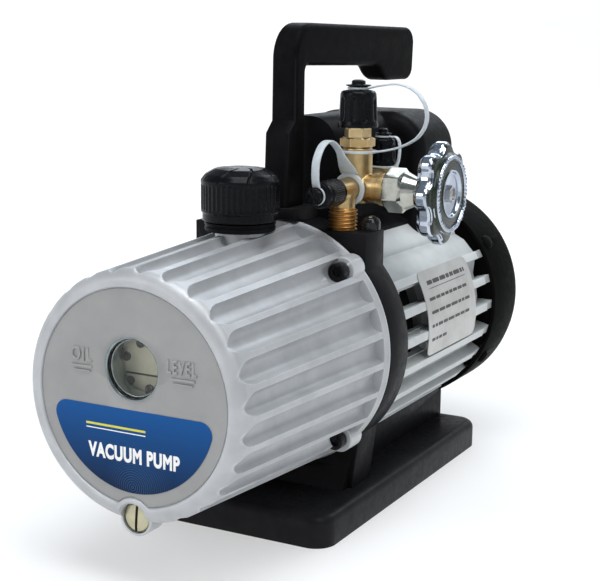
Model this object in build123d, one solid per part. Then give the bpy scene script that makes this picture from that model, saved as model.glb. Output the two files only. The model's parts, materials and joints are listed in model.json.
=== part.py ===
"""Two-stage rotary vane vacuum pump for air-conditioning service, in millimetres.

+Z is up. The pump lies along Y: the oil tank's face looks towards -Y and the fan cover
towards +Y. The origin is under the middle of the base, on the surface it stands on.
"""
import os
from math import cos, pi, radians, sin

from build123d import *

# ---- Driving dimensions ------------------------------------------------------------

BASE_HALF_WIDTH = 59.3
BASE_HALF_LENGTH = 111.8
BASE_THICKNESS = 17.4
BASE_SCREW_X = 26.0
BASE_SCREW_YS = (-47, 30, 85)

AXIS_Z = 97.2                # height of the shaft
FACE_Y = -201.4              # flat front face of the oil tank
FLANGE_FRONT_Y = -59.0
FLANGE_REAR_Y = -35.9
COVER_FRONT_Y = 104.6
COVER_REAR_Y = 154.4

FACE_R = 54.0                # flat disc on the tank's front
TANK_FRONT_R = 62.6
TANK_REAR_R = 70.0
TANK_WALL = 6.0
GASKET_T = 0.8
FLUTE_COUNT = 26
FLUTE_PHASE = 0.25           # share of a pitch that the first flute lies above the horizontal
FLUTE_START = 4.6            # from the face to the flutes' round ends
FLUTE_R = 6.2
FLUTE_LIFT = 2.0             # how far the flute cutter's centre lies outside the wall
TANK_BOLT_CIRCLE = 66.5
TANK_BOLT_ANGLES = (45, 135, 225, 315)
TANK_BOLT_SEAT_Y = -73.0     # front of the four ears that the bolt heads sit on

FLANGE_R = 71.0
FLANGE_HALF_WIDTH = 54.5
FLANGE_TOP_Z = 162.7

MOTOR_SKIN_R = 62.0
MOTOR_RIB_R = 69.0
MOTOR_BORE_R = 57.5
RIB_PITCH = 14.4             # degrees between ribs
WINDOW_FRONT_Y = -23.0
COVER_R = 70.8
COVER_WALL = 2.6
COVER_SCREW_Y = 115.0
COVER_SCREW_ANGLES = (33, 147, 213, 327)

SHAFT_R = 8.0
RUNNING_CLEARANCE = 0.05

MANIFOLD_X = 34.6
NIPPLE_Y = -47.4
COLUMN_Y = -30.4
REAR_PORT_Y = 3.6
MANIFOLD_Z = 184.3
VALVE_SEAT_X = 54.2          # end of the manifold's valve collar
BONNET_STEP_X = 65.7         # between the bonnet's hexagon and its cone
WHEEL_X = 80.0               # back face of the handwheel
WHEEL_R = 28.3
WHEEL_LOBES = 8

CAP_Y = -100.4               # oil fill axis
NECK_Z = 166.2               # top of the tank's filler boss
FILLER_BOSS_R = 16.5
CAP_R = 21.0
SIGHT_GLASS_Z = 111.5
SIGHT_GLASS_R = 15.6
SIGHT_GLASS_SEAT = 3.4       # from the face to the step that the seal lies on
SIGHT_BORE_R = 14.0
DRAIN_Z = 36.4
DRAIN_R = 7.6

HANDLE_HALF_WIDTH = 8.0
HANDLE_FRONT_Y = -54.3
HANDLE_REAR_Y = 107.0
HANDLE_TOP_Z = 275.2
HANDLE_FOOT_Z = 174.2

BOX_TOP_Z = 223.2
BOX_SPLIT_Y = 43.6
BOX_REAR_Y = 98.6
BOX_FRONT_Y = -29.4

os.makedirs("parts", exist_ok=True)


# ---- Helpers -----------------------------------------------------------------------

def save(name, shape):
    """Write one node, as a single solid or a group of separate solids."""
    solids = shape.solids()
    export_step(solids[0] if len(solids) == 1 else Compound(children=solids), f"parts/{name}.step")


def along_x(radius, x0, x1, y, z):
    return Pos((x0 + x1) / 2, y, z) * Rot(0, 90, 0) * Cylinder(radius, abs(x1 - x0))


def along_y(radius, y0, y1, x=0.0, z=AXIS_Z):
    return Pos(x, (y0 + y1) / 2, z) * Rot(-90, 0, 0) * Cylinder(radius, abs(y1 - y0))


def along_z(radius, z0, z1, x, y):
    return Pos(x, y, (z0 + z1) / 2) * Cylinder(radius, abs(z1 - z0))


def ring_y(outer, inner, y0, y1, x=0.0, z=AXIS_Z):
    return along_y(outer, y0, y1, x, z) - along_y(inner, y0 - 1, y1 + 1, x, z)


def block(x0, x1, y0, y1, z0, z1):
    return Pos((x0 + x1) / 2, (y0 + y1) / 2, (z0 + z1) / 2) * Box(x1 - x0, y1 - y0, z1 - z0)


def turned(points):
    """Turn (radius, height) points about Z."""
    outline = Polyline(*[(radius, 0, height) for radius, height in points], close=True)
    return revolve(make_face(outline), Axis.Z)


def turned_y(points, x=0.0, z=AXIS_Z):
    """Turn (radius, y) points about an axis that runs along Y."""
    return Pos(x, 0, z) * Rot(-90, 0, 0) * turned(points)


def turned_x(points, y, z):
    """Turn (radius, x) points about an axis that runs along X."""
    return Pos(0, y, z) * Rot(0, 90, 0) * turned(points)


def around_axis(shape, degrees):
    """Turn a shape about the pump's own axis; positive goes from +X towards +Z."""
    return Pos(0, 0, AXIS_Z) * Rot(0, -degrees, 0) * Pos(0, 0, -AXIS_Z) * shape


def hexagon_z(across_flats, z0, z1, x, y, turn=0):
    outline = Rot(0, 0, turn) * RegularPolygon(across_flats / 2, 6, major_radius=False)
    return Pos(x, y, z0) * extrude(outline, z1 - z0)


def ribbed_cap_z(radius, height, ribs, rib_depth, draft=0.0):
    """A closed cap standing on Z = 0, with vertical grip ribs cut into its side."""
    shell = turned([(0, 0), (radius, 0), (radius, 2), (radius - 0.6, 2.4),
                    (radius - 0.6 - draft, height - 2), (radius - 2.6 - draft, height), (0, height)])
    groove = Cylinder(0.8, height - 5.5)
    for index in range(ribs):
        angle = 360 * index / ribs
        shell -= Rot(0, 0, angle) * Pos(radius - 0.1 - rib_depth + 0.8, 0, height / 2 + 0.5) * groove
    return shell


# ---- Base --------------------------------------------------------------------------

def make_base():
    plate = block(-BASE_HALF_WIDTH, BASE_HALF_WIDTH, -BASE_HALF_LENGTH, BASE_HALF_LENGTH,
                  0, BASE_THICKNESS)
    plate = fillet(plate.edges().filter_by(Axis.Z), 12)
    plate = fillet(plate.faces().sort_by(Axis.Z)[-1].edges(), 5)
    for x in (-BASE_SCREW_X, BASE_SCREW_X):
        for y in BASE_SCREW_YS:
            plate -= along_z(3.2, -1, BASE_THICKNESS + 1, x, y)
            plate -= along_z(5.6, -1, 7, x, y)
    return plate


def make_base_screws():
    screws = None
    for x in (-BASE_SCREW_X, BASE_SCREW_X):
        for y in BASE_SCREW_YS:
            screw = along_z(3.0, 5, 28, x, y) + along_z(5.2, 3, 7, x, y)
            screw -= hexagon_z(4, 2, 5.5, x, y)
            screws = screw if screws is None else screws + screw
    return screws


def make_pedestal():
    """Moulded saddle that carries the motor."""
    saddle = block(-33.5, 33.5, FLANGE_REAR_Y, 109.5, BASE_THICKNESS, 58)
    saddle = fillet(saddle.edges().filter_by(Axis.Z), 2)
    saddle -= along_y(MOTOR_RIB_R + 0.1, FLANGE_REAR_Y - 1, 111)
    saddle -= along_y(COVER_R + 0.1, COVER_FRONT_Y - 0.1, 111)
    for x in (-BASE_SCREW_X, BASE_SCREW_X):
        for y in BASE_SCREW_YS[1:]:
            saddle -= along_z(3.0, 10, 28, x, y)
    return saddle


# ---- Oil tank ----------------------------------------------------------------------

TANK_RISE = (TANK_REAR_R - TANK_FRONT_R) / 138.0
TANK_PLATE_Y = FLANGE_FRONT_Y - 4.0


def tank_radius(y):
    """Outer radius of the tapered tank wall at a place along the axis."""
    return TANK_FRONT_R + TANK_RISE * (y - FACE_Y - 4.4)


def make_flute_cutter():
    front_y = FACE_Y + FLUTE_START + FLUTE_R
    rear_y = TANK_PLATE_Y + 20
    start = Vector(tank_radius(front_y) + FLUTE_LIFT, front_y, AXIS_Z)
    end = Vector(tank_radius(rear_y) + FLUTE_LIFT, rear_y, AXIS_Z)
    path = Line(start, end)
    section = Plane(origin=start, z_dir=end - start) * Circle(FLUTE_R)
    cutter = sweep(section, path) + Pos(start) * Sphere(FLUTE_R)
    return cutter & block(0, 200, -250, TANK_PLATE_Y, 0, 200)


def make_oil_tank():
    rim_y = TANK_PLATE_Y
    outside = turned_y([
        (0, FACE_Y), (FACE_R, FACE_Y), (FACE_R + 0.8, FACE_Y - 1.0), (57.0, FACE_Y - 1.2),
        (60.6, FACE_Y + 1.2), (62.2, FACE_Y + 3.6), (tank_radius(FACE_Y + 7), FACE_Y + 7),
        (TANK_REAR_R, rim_y), (FLANGE_R, rim_y), (FLANGE_R, FLANGE_FRONT_Y - GASKET_T),
        (0, FLANGE_FRONT_Y - GASKET_T)])
    cutter = make_flute_cutter()
    for index in range(FLUTE_COUNT):
        outside -= around_axis(cutter, 360 * (index + FLUTE_PHASE) / FLUTE_COUNT)
    for angle in TANK_BOLT_ANGLES:
        outside += around_axis(along_y(8.0, TANK_BOLT_SEAT_Y, rim_y, x=TANK_BOLT_CIRCLE), angle)
    outside += along_z(FILLER_BOSS_R, 150, NECK_Z, 0, CAP_Y)
    outside += along_y(9.0, FACE_Y + 2.0, FACE_Y + 16, z=DRAIN_Z)
    inside = turned_y([
        (0, FACE_Y + TANK_WALL), (54.0, FACE_Y + TANK_WALL), (56.0, FACE_Y + TANK_WALL + 2),
        (TANK_REAR_R - 10.5, FLANGE_FRONT_Y + 1), (0, FLANGE_FRONT_Y + 1)])
    tank = outside - inside
    for angle in TANK_BOLT_ANGLES:
        tank -= around_axis(along_y(3.2, -90, FLANGE_FRONT_Y + 1, x=TANK_BOLT_CIRCLE), angle)
        pocket = along_y(5.6, TANK_BOLT_SEAT_Y - 13, TANK_BOLT_SEAT_Y, x=TANK_BOLT_CIRCLE)
        tank -= around_axis(pocket, angle)
    tank -= along_z(11.5, 140, 170, 0, CAP_Y)
    tank -= along_y(SIGHT_BORE_R, FACE_Y - 1, FACE_Y + 12, z=SIGHT_GLASS_Z)
    tank -= along_y(SIGHT_GLASS_R, FACE_Y - 1, FACE_Y + SIGHT_GLASS_SEAT, z=SIGHT_GLASS_Z)
    tank -= along_y(5.05, FACE_Y - 1, FACE_Y + 20, z=DRAIN_Z)
    tank -= along_y(DRAIN_R + 0.3, FACE_Y - 3, FACE_Y + 6.2, z=DRAIN_Z)
    return tank & along_y(90, FACE_Y - 4, FLANGE_FRONT_Y - GASKET_T)


def make_tank_gasket():
    gasket = ring_y(70.2, 59.0, FLANGE_FRONT_Y - GASKET_T, FLANGE_FRONT_Y)
    for angle in TANK_BOLT_ANGLES:
        gasket -= around_axis(along_y(3.2, -62, -57, x=TANK_BOLT_CIRCLE), angle)
    return gasket


def make_tank_bolts():
    bolts = None
    for angle in TANK_BOLT_ANGLES:
        bolt = along_y(3.0, TANK_BOLT_SEAT_Y, -44, x=TANK_BOLT_CIRCLE)
        bolt += along_y(5.0, TANK_BOLT_SEAT_Y - 6, TANK_BOLT_SEAT_Y, x=TANK_BOLT_CIRCLE)
        socket = extrude(RegularPolygon(2.5, 6, major_radius=False), 4)
        bolt -= Pos(TANK_BOLT_CIRCLE, TANK_BOLT_SEAT_Y - 3.5, AXIS_Z) * Rot(90, 0, 0) * socket
        bolt = around_axis(bolt, angle)
        bolts = bolt if bolts is None else bolts + bolt
    return bolts


def make_front_decal():
    """Thin label below the sight glass; its lower edge runs parallel with the disc's."""
    edge_r = 47.2
    disc = along_y(edge_r, FACE_Y - 0.3, FACE_Y)
    disc &= block(-60, 60, FACE_Y - 2, FACE_Y + 2, 0, AXIS_Z - 5.6)
    return fillet(disc.edges().filter_by(Axis.Y), 6.5)


def make_sight_glass():
    return along_y(15.0, FACE_Y + 1.6, FACE_Y + 3.2, z=SIGHT_GLASS_Z)


def make_sight_glass_ring():
    body = ring_y(SIGHT_GLASS_R, 14.4, FACE_Y + 0.2, FACE_Y + 1.6, z=SIGHT_GLASS_Z)
    return body + ring_y(SIGHT_GLASS_R, 15.05, FACE_Y + 1.6, FACE_Y + 3.2, z=SIGHT_GLASS_Z)


def make_sight_glass_seal():
    return ring_y(15.0, 14.1, FACE_Y + 3.2, FACE_Y + SIGHT_GLASS_SEAT, z=SIGHT_GLASS_Z)


def make_drain_plug():
    plug = along_y(DRAIN_R, FACE_Y + 2.8, FACE_Y + 5.2, z=DRAIN_Z)
    plug += along_y(5.0, FACE_Y + 5.2, FACE_Y + 16, z=DRAIN_Z)
    return plug - block(-0.8, 0.8, FACE_Y + 2, FACE_Y + 4.4, DRAIN_Z - 9, DRAIN_Z + 9)


def make_drain_washer():
    return ring_y(7.4, 5.05, FACE_Y + 5.2, FACE_Y + 6.2, z=DRAIN_Z)


# ---- Oil fill ----------------------------------------------------------------------

def make_oil_fill_neck():
    neck = turned([(9.0, 150), (11.5, 150), (11.5, NECK_Z), (19.0, NECK_Z), (19.0, NECK_Z + 5),
                   (12.5, NECK_Z + 5), (12.5, 182), (9.0, 182)])
    return Pos(0, CAP_Y, 0) * neck


def make_oil_fill_cap():
    dome = turned([(0, 198.4), (10, 199.8), (13.0, 199.4), (17.2, 197.6), (18.8, 195.6), (20.3, 194.6),
                   (CAP_R, 193.2), (CAP_R, NECK_Z + 5.4), (12.9, NECK_Z + 5.4), (12.9, 186), (0, 186)])
    groove = Cylinder(1.0, 17)
    for index in range(40):
        dome -= Rot(0, 0, 9 * index) * Pos(CAP_R + 0.5, 0, 182) * groove
    slot = Pos(12.4, 0, 200.2) * Box(9, 1.0, 3)
    for index in range(8):
        dome -= Rot(0, 0, 45 * index) * slot
    return Pos(0, CAP_Y, 0) * dome


def make_cap_seal():
    seat_z = NECK_Z + 5
    return along_z(17.0, seat_z, seat_z + 0.3, 0, CAP_Y) - along_z(12.6, seat_z - 1, seat_z + 2, 0, CAP_Y)


# ---- Centre flange -----------------------------------------------------------------

def make_mid_flange():
    body = along_y(FLANGE_R, FLANGE_FRONT_Y, FLANGE_REAR_Y)
    body += block(-FLANGE_HALF_WIDTH, FLANGE_HALF_WIDTH, FLANGE_FRONT_Y, FLANGE_REAR_Y,
                  AXIS_Z, FLANGE_TOP_Z)
    foot_side = Polyline((-54, 60), (-48.5, BASE_THICKNESS), (48.5, BASE_THICKNESS), (54, 60),
                         close=True)
    foot = Plane.XZ.offset(-FLANGE_REAR_Y) * make_face(foot_side)
    body += extrude(foot, FLANGE_REAR_Y - FLANGE_FRONT_Y)
    toe = Polyline((FLANGE_FRONT_Y, 30), (FLANGE_FRONT_Y - 7, BASE_THICKNESS),
                   (FLANGE_FRONT_Y, BASE_THICKNESS), close=True)
    body += Pos(-46, 0, 0) * extrude(Plane.YZ * make_face(toe), 92)
    body += block(-14, 14, -66, HANDLE_FRONT_Y + 16, FLANGE_TOP_Z - 4, HANDLE_FOOT_Z)
    stud = turned([(0, 0), (5.4, 0), (5.4, 6.4), (3.6, 8.6), (0, 9.2)])
    body += Pos(48.4, -40.6, FLANGE_TOP_Z - 2) * stud
    body -= along_y(FLANGE_R + 0.5, -90, FLANGE_FRONT_Y)
    body -= along_y(SHAFT_R + 1.0, FLANGE_FRONT_Y - 1, FLANGE_REAR_Y + 1)
    body -= along_y(13.0, FLANGE_FRONT_Y - 1, FLANGE_FRONT_Y + 8)
    body -= along_y(17.5, FLANGE_REAR_Y - 12, FLANGE_REAR_Y + 1)
    body -= along_z(6.0, 130, FLANGE_TOP_Z + 1, MANIFOLD_X, NIPPLE_Y)
    body -= Pos(MANIFOLD_X, NIPPLE_Y, 130) * Rot(90, 0, 0) * Cylinder(4, 30)
    for angle in TANK_BOLT_ANGLES:
        body -= around_axis(along_y(3.0, FLANGE_FRONT_Y - 1, -43, x=TANK_BOLT_CIRCLE), angle)
    for x in (-BASE_SCREW_X, BASE_SCREW_X):
        body -= along_z(3.0, 10, 28, x, BASE_SCREW_YS[0])
    return drill_stack(body, FLANGE_FRONT_Y - 1, -52, 2.5)


def make_intake_screen():
    """Short strainer tube below the intake nipple."""
    tube = along_z(5.9, 150, 162.0, MANIFOLD_X, NIPPLE_Y)
    return tube - along_z(5.2, 151, 163, MANIFOLD_X, NIPPLE_Y)


# ---- Pump mechanism ----------------------------------------------------------------

STAGE_R = 40.0
CHAMBER_R = 27.0
ROTOR_R = 23.7
CHAMBER_OFFSET = CHAMBER_R - ROTOR_R - 0.3
FIRST_STAGE = (-104.0, FLANGE_FRONT_Y)
SECOND_STAGE = (-136.0, -110.0)
END_PLATE_Y = -146.0


def bolt_places():
    circle = 33.5
    return [(circle * cos(radians(angle)), circle * sin(radians(angle))) for angle in range(30, 390, 60)]


def drill_stack(shape, y0, y1, radius=2.55):
    for dx, dz in bolt_places():
        shape -= along_y(radius, y0, y1, dx, AXIS_Z + dz)
    return shape


def make_stage(span):
    ring = along_y(STAGE_R, *span)
    ring -= along_y(CHAMBER_R, span[0] - 1, span[1] + 1, z=AXIS_Z + CHAMBER_OFFSET)
    return drill_stack(ring, span[0] - 1, span[1] + 1)


def make_plate(y0, y1):
    plate = ring_y(STAGE_R, SHAFT_R + RUNNING_CLEARANCE, y0, y1)
    return drill_stack(plate, y0 - 1, y1 + 1)


def vane_slot(span, side):
    low, high = sorted((side * 9.5, side * (ROTOR_R + 2)))
    return block(-2, 2, span[0], span[1], AXIS_Z + low, AXIS_Z + high)


def make_pump_rotor(span):
    rotor = ring_y(ROTOR_R, SHAFT_R, span[0] + 0.3, span[1] - 0.3)
    return rotor - vane_slot(span, 1) - vane_slot(span, -1)


def make_vanes(span):
    """Two vanes, shown drawn back into their slots."""
    tip = ROTOR_R - 0.1
    upper = block(-1.95, 1.95, span[0] + 0.4, span[1] - 0.4, AXIS_Z + 13.5, AXIS_Z + tip)
    lower = block(-1.95, 1.95, span[0] + 0.4, span[1] - 0.4, AXIS_Z - tip, AXIS_Z - 13.5)
    reach = along_y(ROTOR_R, span[0], span[1])
    return (upper & reach) + (lower & reach)


def make_vane_springs():
    springs = None
    for y in (-94, -69, -130, -116):
        for low, high in ((9.5, 13.5), (-13.5, -9.5)):
            coil = along_z(1.6, AXIS_Z + low, AXIS_Z + high, 0, y)
            coil -= along_z(0.9, AXIS_Z + low - 1, AXIS_Z + high + 1, 0, y)
            springs = coil if springs is None else springs + coil
    return springs


def make_pump_bolts():
    bolts = None
    for dx, dz in bolt_places():
        bolt = along_y(2.5, END_PLATE_Y, -52, dx, AXIS_Z + dz)
        bolt += along_y(4.4, END_PLATE_Y - 4.6, END_PLATE_Y, dx, AXIS_Z + dz)
        bolts = bolt if bolts is None else bolts + bolt
    return bolts


def make_exhaust_valve():
    """Reed and its stop on top of the second stage."""
    reed = block(-9, 9, -133, -113, AXIS_Z + STAGE_R - 1.5, AXIS_Z + STAGE_R + 0.4)
    stop = Pos(0, -123, AXIS_Z + STAGE_R + 1.6) * Box(18, 20, 2.4)
    return reed + stop - along_y(STAGE_R, -140, -100)


OIL_COVER_Y = -187.4         # front of the cover that is seen through the sight glass
OIL_COVER_T = 3.0


def oil_cover_screw_places():
    """Offsets of the four cover screws from the shaft's axis."""
    return [(-12.3, 16.6), (-10.2, 4.8), (1.0, 1.8), (-3.9, 24.1)]


def make_oil_cover():
    """Splash cover on a short tube in front of the pump's end plate."""
    rear_y = OIL_COVER_Y + OIL_COVER_T
    cover = along_y(36.0, OIL_COVER_Y, rear_y)
    cover += ring_y(27.0, 24.0, rear_y, END_PLATE_Y)
    cover -= block(-40, 40, OIL_COVER_Y - 1, OIL_COVER_Y + 0.7, AXIS_Z + 8.2, AXIS_Z + 9.0)
    for dx, dz in oil_cover_screw_places():
        cover -= along_y(1.3, OIL_COVER_Y - 1, rear_y + 1, dx, AXIS_Z + dz)
    return cover


def make_oil_cover_screws():
    screws = None
    for dx, dz in oil_cover_screw_places():
        screw = along_y(1.3, OIL_COVER_Y, OIL_COVER_Y + OIL_COVER_T, dx, AXIS_Z + dz)
        screw += along_y(2.3, OIL_COVER_Y - 0.9, OIL_COVER_Y, dx, AXIS_Z + dz)
        screws = screw if screws is None else screws + screw
    return screws


# ---- Motor -------------------------------------------------------------------------

SKIN_REAR_Y = 95.0           # the casting's skin ends here; only the ribs run on


def make_motor_rib(angle, width=5.0):
    rib = block(MOTOR_BORE_R + 1, MOTOR_RIB_R, FLANGE_REAR_Y, 110.0,
                AXIS_Z - width / 2, AXIS_Z + width / 2)
    return around_axis(rib, angle)


def motor_top(rear_y):
    """Faceted upper part of the motor, which also shapes the box's seat."""
    half = Polyline((0, 63.2), (18.0, 62.8), (34.0, 57.4), (44.0, 48.6), (45.2, 45.4), (51.2, 42.4),
                    (59.6, 33.2), (58.0, 18.0), (0, 18.0), close=True)
    right = extrude(Plane.XZ.offset(-rear_y) * make_face(half), rear_y - FLANGE_REAR_Y)
    return Pos(0, 0, AXIS_Z) * (right + mirror(right, Plane.YZ))


def make_motor_housing():
    housing = along_y(MOTOR_SKIN_R, FLANGE_REAR_Y, SKIN_REAR_Y) + motor_top(SKIN_REAR_Y)
    housing -= along_y(20.0, FLANGE_REAR_Y - 1, FLANGE_REAR_Y + 20)
    window = block(50, 75, WINDOW_FRONT_Y, 13.6, AXIS_Z - 4.6, AXIS_Z + 4.6)
    for step in range(3):
        angle = RIB_PITCH * (1.5 - step)
        housing -= around_axis(window, angle)
        housing -= around_axis(window, 180 - angle)
    for step in range(-2, 9):
        angle = -RIB_PITCH * step
        housing += make_motor_rib(angle)
        housing += make_motor_rib(180 - angle)
    keep = along_y(COVER_R - COVER_WALL - 0.05, SKIN_REAR_Y, 120)
    keep += block(-90, 90, -60, SKIN_REAR_Y, 0, 200)
    return (housing & keep) - along_y(MOTOR_BORE_R, FLANGE_REAR_Y + 9, 130)


def make_rear_end_plate():
    plate = ring_y(MOTOR_BORE_R - 0.1, 16.0, 92, 100)
    for index in range(6):
        plate -= around_axis(block(26, 46, 91, 101, AXIS_Z - 8, AXIS_Z + 8), 60 * index)
    return plate


def make_bearing(y0, y1, outer):
    return ring_y(outer, SHAFT_R + RUNNING_CLEARANCE, y0, y1)


def make_fan():
    fan = ring_y(15, SHAFT_R, 112, 134) + ring_y(30, SHAFT_R, 112, 114.5)
    for index in range(7):
        blade = Pos(36, 124, AXIS_Z) * Rot(28, 0, 0) * Box(44, 20, 2.2)
        fan += around_axis(blade, 360 * index / 7)
    return fan & along_y(59, 111, 138)


def make_rear_cover():
    cup = turned_y([
        (0, COVER_REAR_Y), (58, COVER_REAR_Y), (65.5, COVER_REAR_Y - 2), (69.4, COVER_REAR_Y - 6),
        (COVER_R, COVER_REAR_Y - 12), (COVER_R, COVER_FRONT_Y), (COVER_R - COVER_WALL, COVER_FRONT_Y),
        (COVER_R - COVER_WALL, COVER_REAR_Y - 12), (66.4, COVER_REAR_Y - 8), (62, COVER_REAR_Y - 4),
        (57, COVER_REAR_Y - 2.8), (0, COVER_REAR_Y - 2.8)])
    for ring in range(4):
        radius = 16 + 12 * ring
        count = 8 if ring < 2 else 16
        length = 0.62 * 2 * pi * radius / count
        slot = block(radius - 2.6, radius + 2.6, COVER_REAR_Y - 10, COVER_REAR_Y + 5,
                     AXIS_Z - length / 2, AXIS_Z + length / 2)
        for index in range(count):
            cup -= around_axis(slot, 360 * (index + 0.5) / count)
    for angle in COVER_SCREW_ANGLES:
        cup -= around_axis(Pos(COVER_R, COVER_SCREW_Y, AXIS_Z) * Rot(0, 90, 0) * Cylinder(2.1, 14), angle)
    return cup


def make_cover_screws():
    screws = None
    for angle in COVER_SCREW_ANGLES:
        screw = Pos(COVER_R - 3, COVER_SCREW_Y, AXIS_Z) * Rot(0, 90, 0) * Cylinder(2.0, 8)
        head = Pos(COVER_R, COVER_SCREW_Y, AXIS_Z) * Rot(0, 90, 0) * turned(
            [(0, 0), (4.6, 0), (4.6, 0.8), (3.4, 2.2), (0, 2.8)])
        screw = around_axis(screw + head, angle)
        screws = screw if screws is None else screws + screw
    return screws


def make_cover_lugs():
    """Four bosses on the ribs that take the cover's screws."""
    lugs = None
    for angle in COVER_SCREW_ANGLES:
        lug = block(61, COVER_R - COVER_WALL - 0.6, 110, 120, AXIS_Z - 5, AXIS_Z + 5)
        lug -= Pos(66, COVER_SCREW_Y, AXIS_Z) * Rot(0, 90, 0) * Cylinder(2.0, 14)
        lug = around_axis(lug, angle)
        lugs = lug if lugs is None else lugs + lug
    return lugs


def make_rating_label():
    """Foil label wrapped over the ribs on the right side."""
    sleeve = ring_y(MOTOR_RIB_R + 0.4, MOTOR_RIB_R + 0.1, -2.0, 73.0)
    wedge = Polyline((0, 0), (120 * cos(radians(31)), 120 * sin(radians(31))),
                     (120, -10), (120 * cos(radians(-11)), 120 * sin(radians(-11))), close=True)
    sector = Pos(0, 0, AXIS_Z) * extrude(Plane.XZ.offset(-80) * make_face(wedge), 90)
    return sleeve & sector


# ---- Box, switch and handle --------------------------------------------------------

def arch(half_width, y0, y1, foot_z, top_z, corner_r):
    tower = block(-half_width, half_width, y0, y1, foot_z, top_z)
    top = tower.faces().sort_by(Axis.Z)[-1]
    return fillet(top.edges().filter_by(Axis.Y), corner_r)


def make_box_outside(inset=0.0):
    narrow = arch(21 - inset, BOX_FRONT_Y + inset, BOX_SPLIT_Y + 10, 140, BOX_TOP_Z - inset, 17 - inset)
    wide = arch(42 - inset, BOX_SPLIT_Y + inset, BOX_REAR_Y - inset,
                140, BOX_TOP_Z - 0.8 - inset, 24 - inset)
    wide = fillet(wide.edges().filter_by(Axis.X).sort_by(Axis.Z)[-2:], 8 - inset)
    shape = narrow + wide
    if inset == 0.0:
        skirt = Polyline((-34, 150), (-34, 157), (-21, 163), (21, 163), (34, 157), (34, 150), close=True)
        skirt_face = Plane.XZ.offset(-BOX_REAR_Y) * make_face(skirt)
        shape += extrude(skirt_face, BOX_REAR_Y - FLANGE_REAR_Y)
    return shape


def make_capacitor_box():
    box = make_box_outside() - motor_top(BOX_REAR_Y + 5)
    box -= make_box_outside(2.5) & block(-60, 60, -60, 130, AXIS_Z + 65.7, 240)
    box -= along_y(COVER_R + 0.3, COVER_FRONT_Y - 1, 130)
    box -= block(-30, -8, BOX_REAR_Y - 5, BOX_REAR_Y + 5, 184, 198)
    box -= block(2, 30, BOX_REAR_Y - 5, BOX_REAR_Y + 5, 179, 203)
    return box


ROCKER_X = -19.0
ROCKER_Y = BOX_REAR_Y - 1.6
ROCKER_Z = 191.0


def make_switch_frame():
    """Rim and well of the switch, with the upright pin that the rocker tips on."""
    frame = block(-32, -6, BOX_REAR_Y, BOX_REAR_Y + 1.6, 182, 200)
    frame += block(-29.6, -8.4, BOX_REAR_Y - 9, BOX_REAR_Y, 184.4, 197.6)
    frame -= block(-28, -10, BOX_REAR_Y - 7, BOX_REAR_Y + 3, 185.6, 196.4)
    return frame + along_z(1.0, ROCKER_Z - 5.4, ROCKER_Z + 5.4, ROCKER_X, ROCKER_Y)


def make_power_rocker():
    """Rocker that tips about an upright pin."""
    outline = Polyline((-7.4, 2.2), (0, 3.2), (7.4, 5.6), (6.4, -2.0), (-6.4, -2.0), close=True)
    body = extrude(Plane.XY * make_face(outline), 10)
    body = Pos(ROCKER_X, ROCKER_Y, ROCKER_Z - 5) * body
    return body - along_z(1.05, 180, 202, ROCKER_X, ROCKER_Y)


def make_power_inlet():
    body = block(3, 29, BOX_REAR_Y - 14, BOX_REAR_Y, 180, 202)
    body += block(0, 32, BOX_REAR_Y, BOX_REAR_Y + 1.8, 177, 205)
    body -= block(5.5, 26.5, BOX_REAR_Y - 11, BOX_REAR_Y + 3, 184, 198)
    for x, z in ((10, 189), (16, 193.5), (22, 189)):
        body += block(x - 1, x + 1, BOX_REAR_Y - 12, BOX_REAR_Y - 2, z - 2.2, z + 2.2)
    return body


def make_capacitor():
    return along_y(15.5, -18, 34, z=186)


def make_handle():
    """Post at the front, grip running back over the motor, and a hooked rear end."""
    front, rear, top = HANDLE_FRONT_Y, HANDLE_REAR_Y, HANDLE_TOP_Z
    inner_y = -41.9
    under = 251.6
    with BuildSketch(Plane.YZ) as side:
        with BuildLine():
            Line((front - 9.7, HANDLE_FOOT_Z), (front - 7.4, 215.5))
            Line((front - 7.4, 215.5), (front - 0.6, 222))
            Line((front - 0.6, 222), (front, 255))
            TangentArc((front, 255), (front + 20, top), tangent=(0, 1))
            Line((front + 20, top), (rear - 10, top - 1.6))
            TangentArc((rear - 10, top - 1.6), (rear, top - 12), tangent=(1, 0))
            Line((rear, top - 12), (rear - 1, 249))
            TangentArc((rear - 1, 249), (rear - 11, 240.6), tangent=(0, -1))
            Line((rear - 11, 240.6), (71, 240.6))
            TangentArc((71, 240.6), (56.5, 246.4), tangent=(-1, 0))
            TangentArc((56.5, 246.4), (46.5, 250.2), tangent=(-0.7, 0.7))
            Line((46.5, 250.2), (inner_y + 4, under))
            TangentArc((inner_y + 4, under), (inner_y, under - 4), tangent=(-1, 0))
            Line((inner_y, under - 4), (inner_y - 0.6, HANDLE_FOOT_Z))
            Line((inner_y - 0.6, HANDLE_FOOT_Z), (front - 9.7, HANDLE_FOOT_Z))
        make_face()
    bar = extrude(side.sketch, HANDLE_HALF_WIDTH, both=True)
    for edge_side in (1, -1):
        face = bar.faces().sort_by(Axis.X)[-1 if edge_side > 0 else 0]
        outer = [edge for edge in face.edges() if edge.center().Z > 180]
        bar = fillet(outer, 3.2)
    return bar


# ---- Intake manifold and valve -----------------------------------------------------

def threaded_z(radius, depth, z0, z1, pitch, x, y):
    """A plain run of thread crests."""
    crests = int((z1 - z0) / pitch)
    points = [(0, z0)]
    for index in range(crests):
        low = z0 + index * pitch
        points += [(radius - depth, low), (radius, low + pitch * 0.5)]
    points += [(radius - depth, z0 + crests * pitch), (radius - depth, z1), (0, z1)]
    return Pos(x, y, 0) * turned(points)


CAP_BASE_Z = 218.2
FRONT_CAP_Y = -57.4           # open end of the front cap
FRONT_CAP_LENGTH = 20.8
REAR_CAP_Z = 194.8
NECK_R = 6.5


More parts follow.
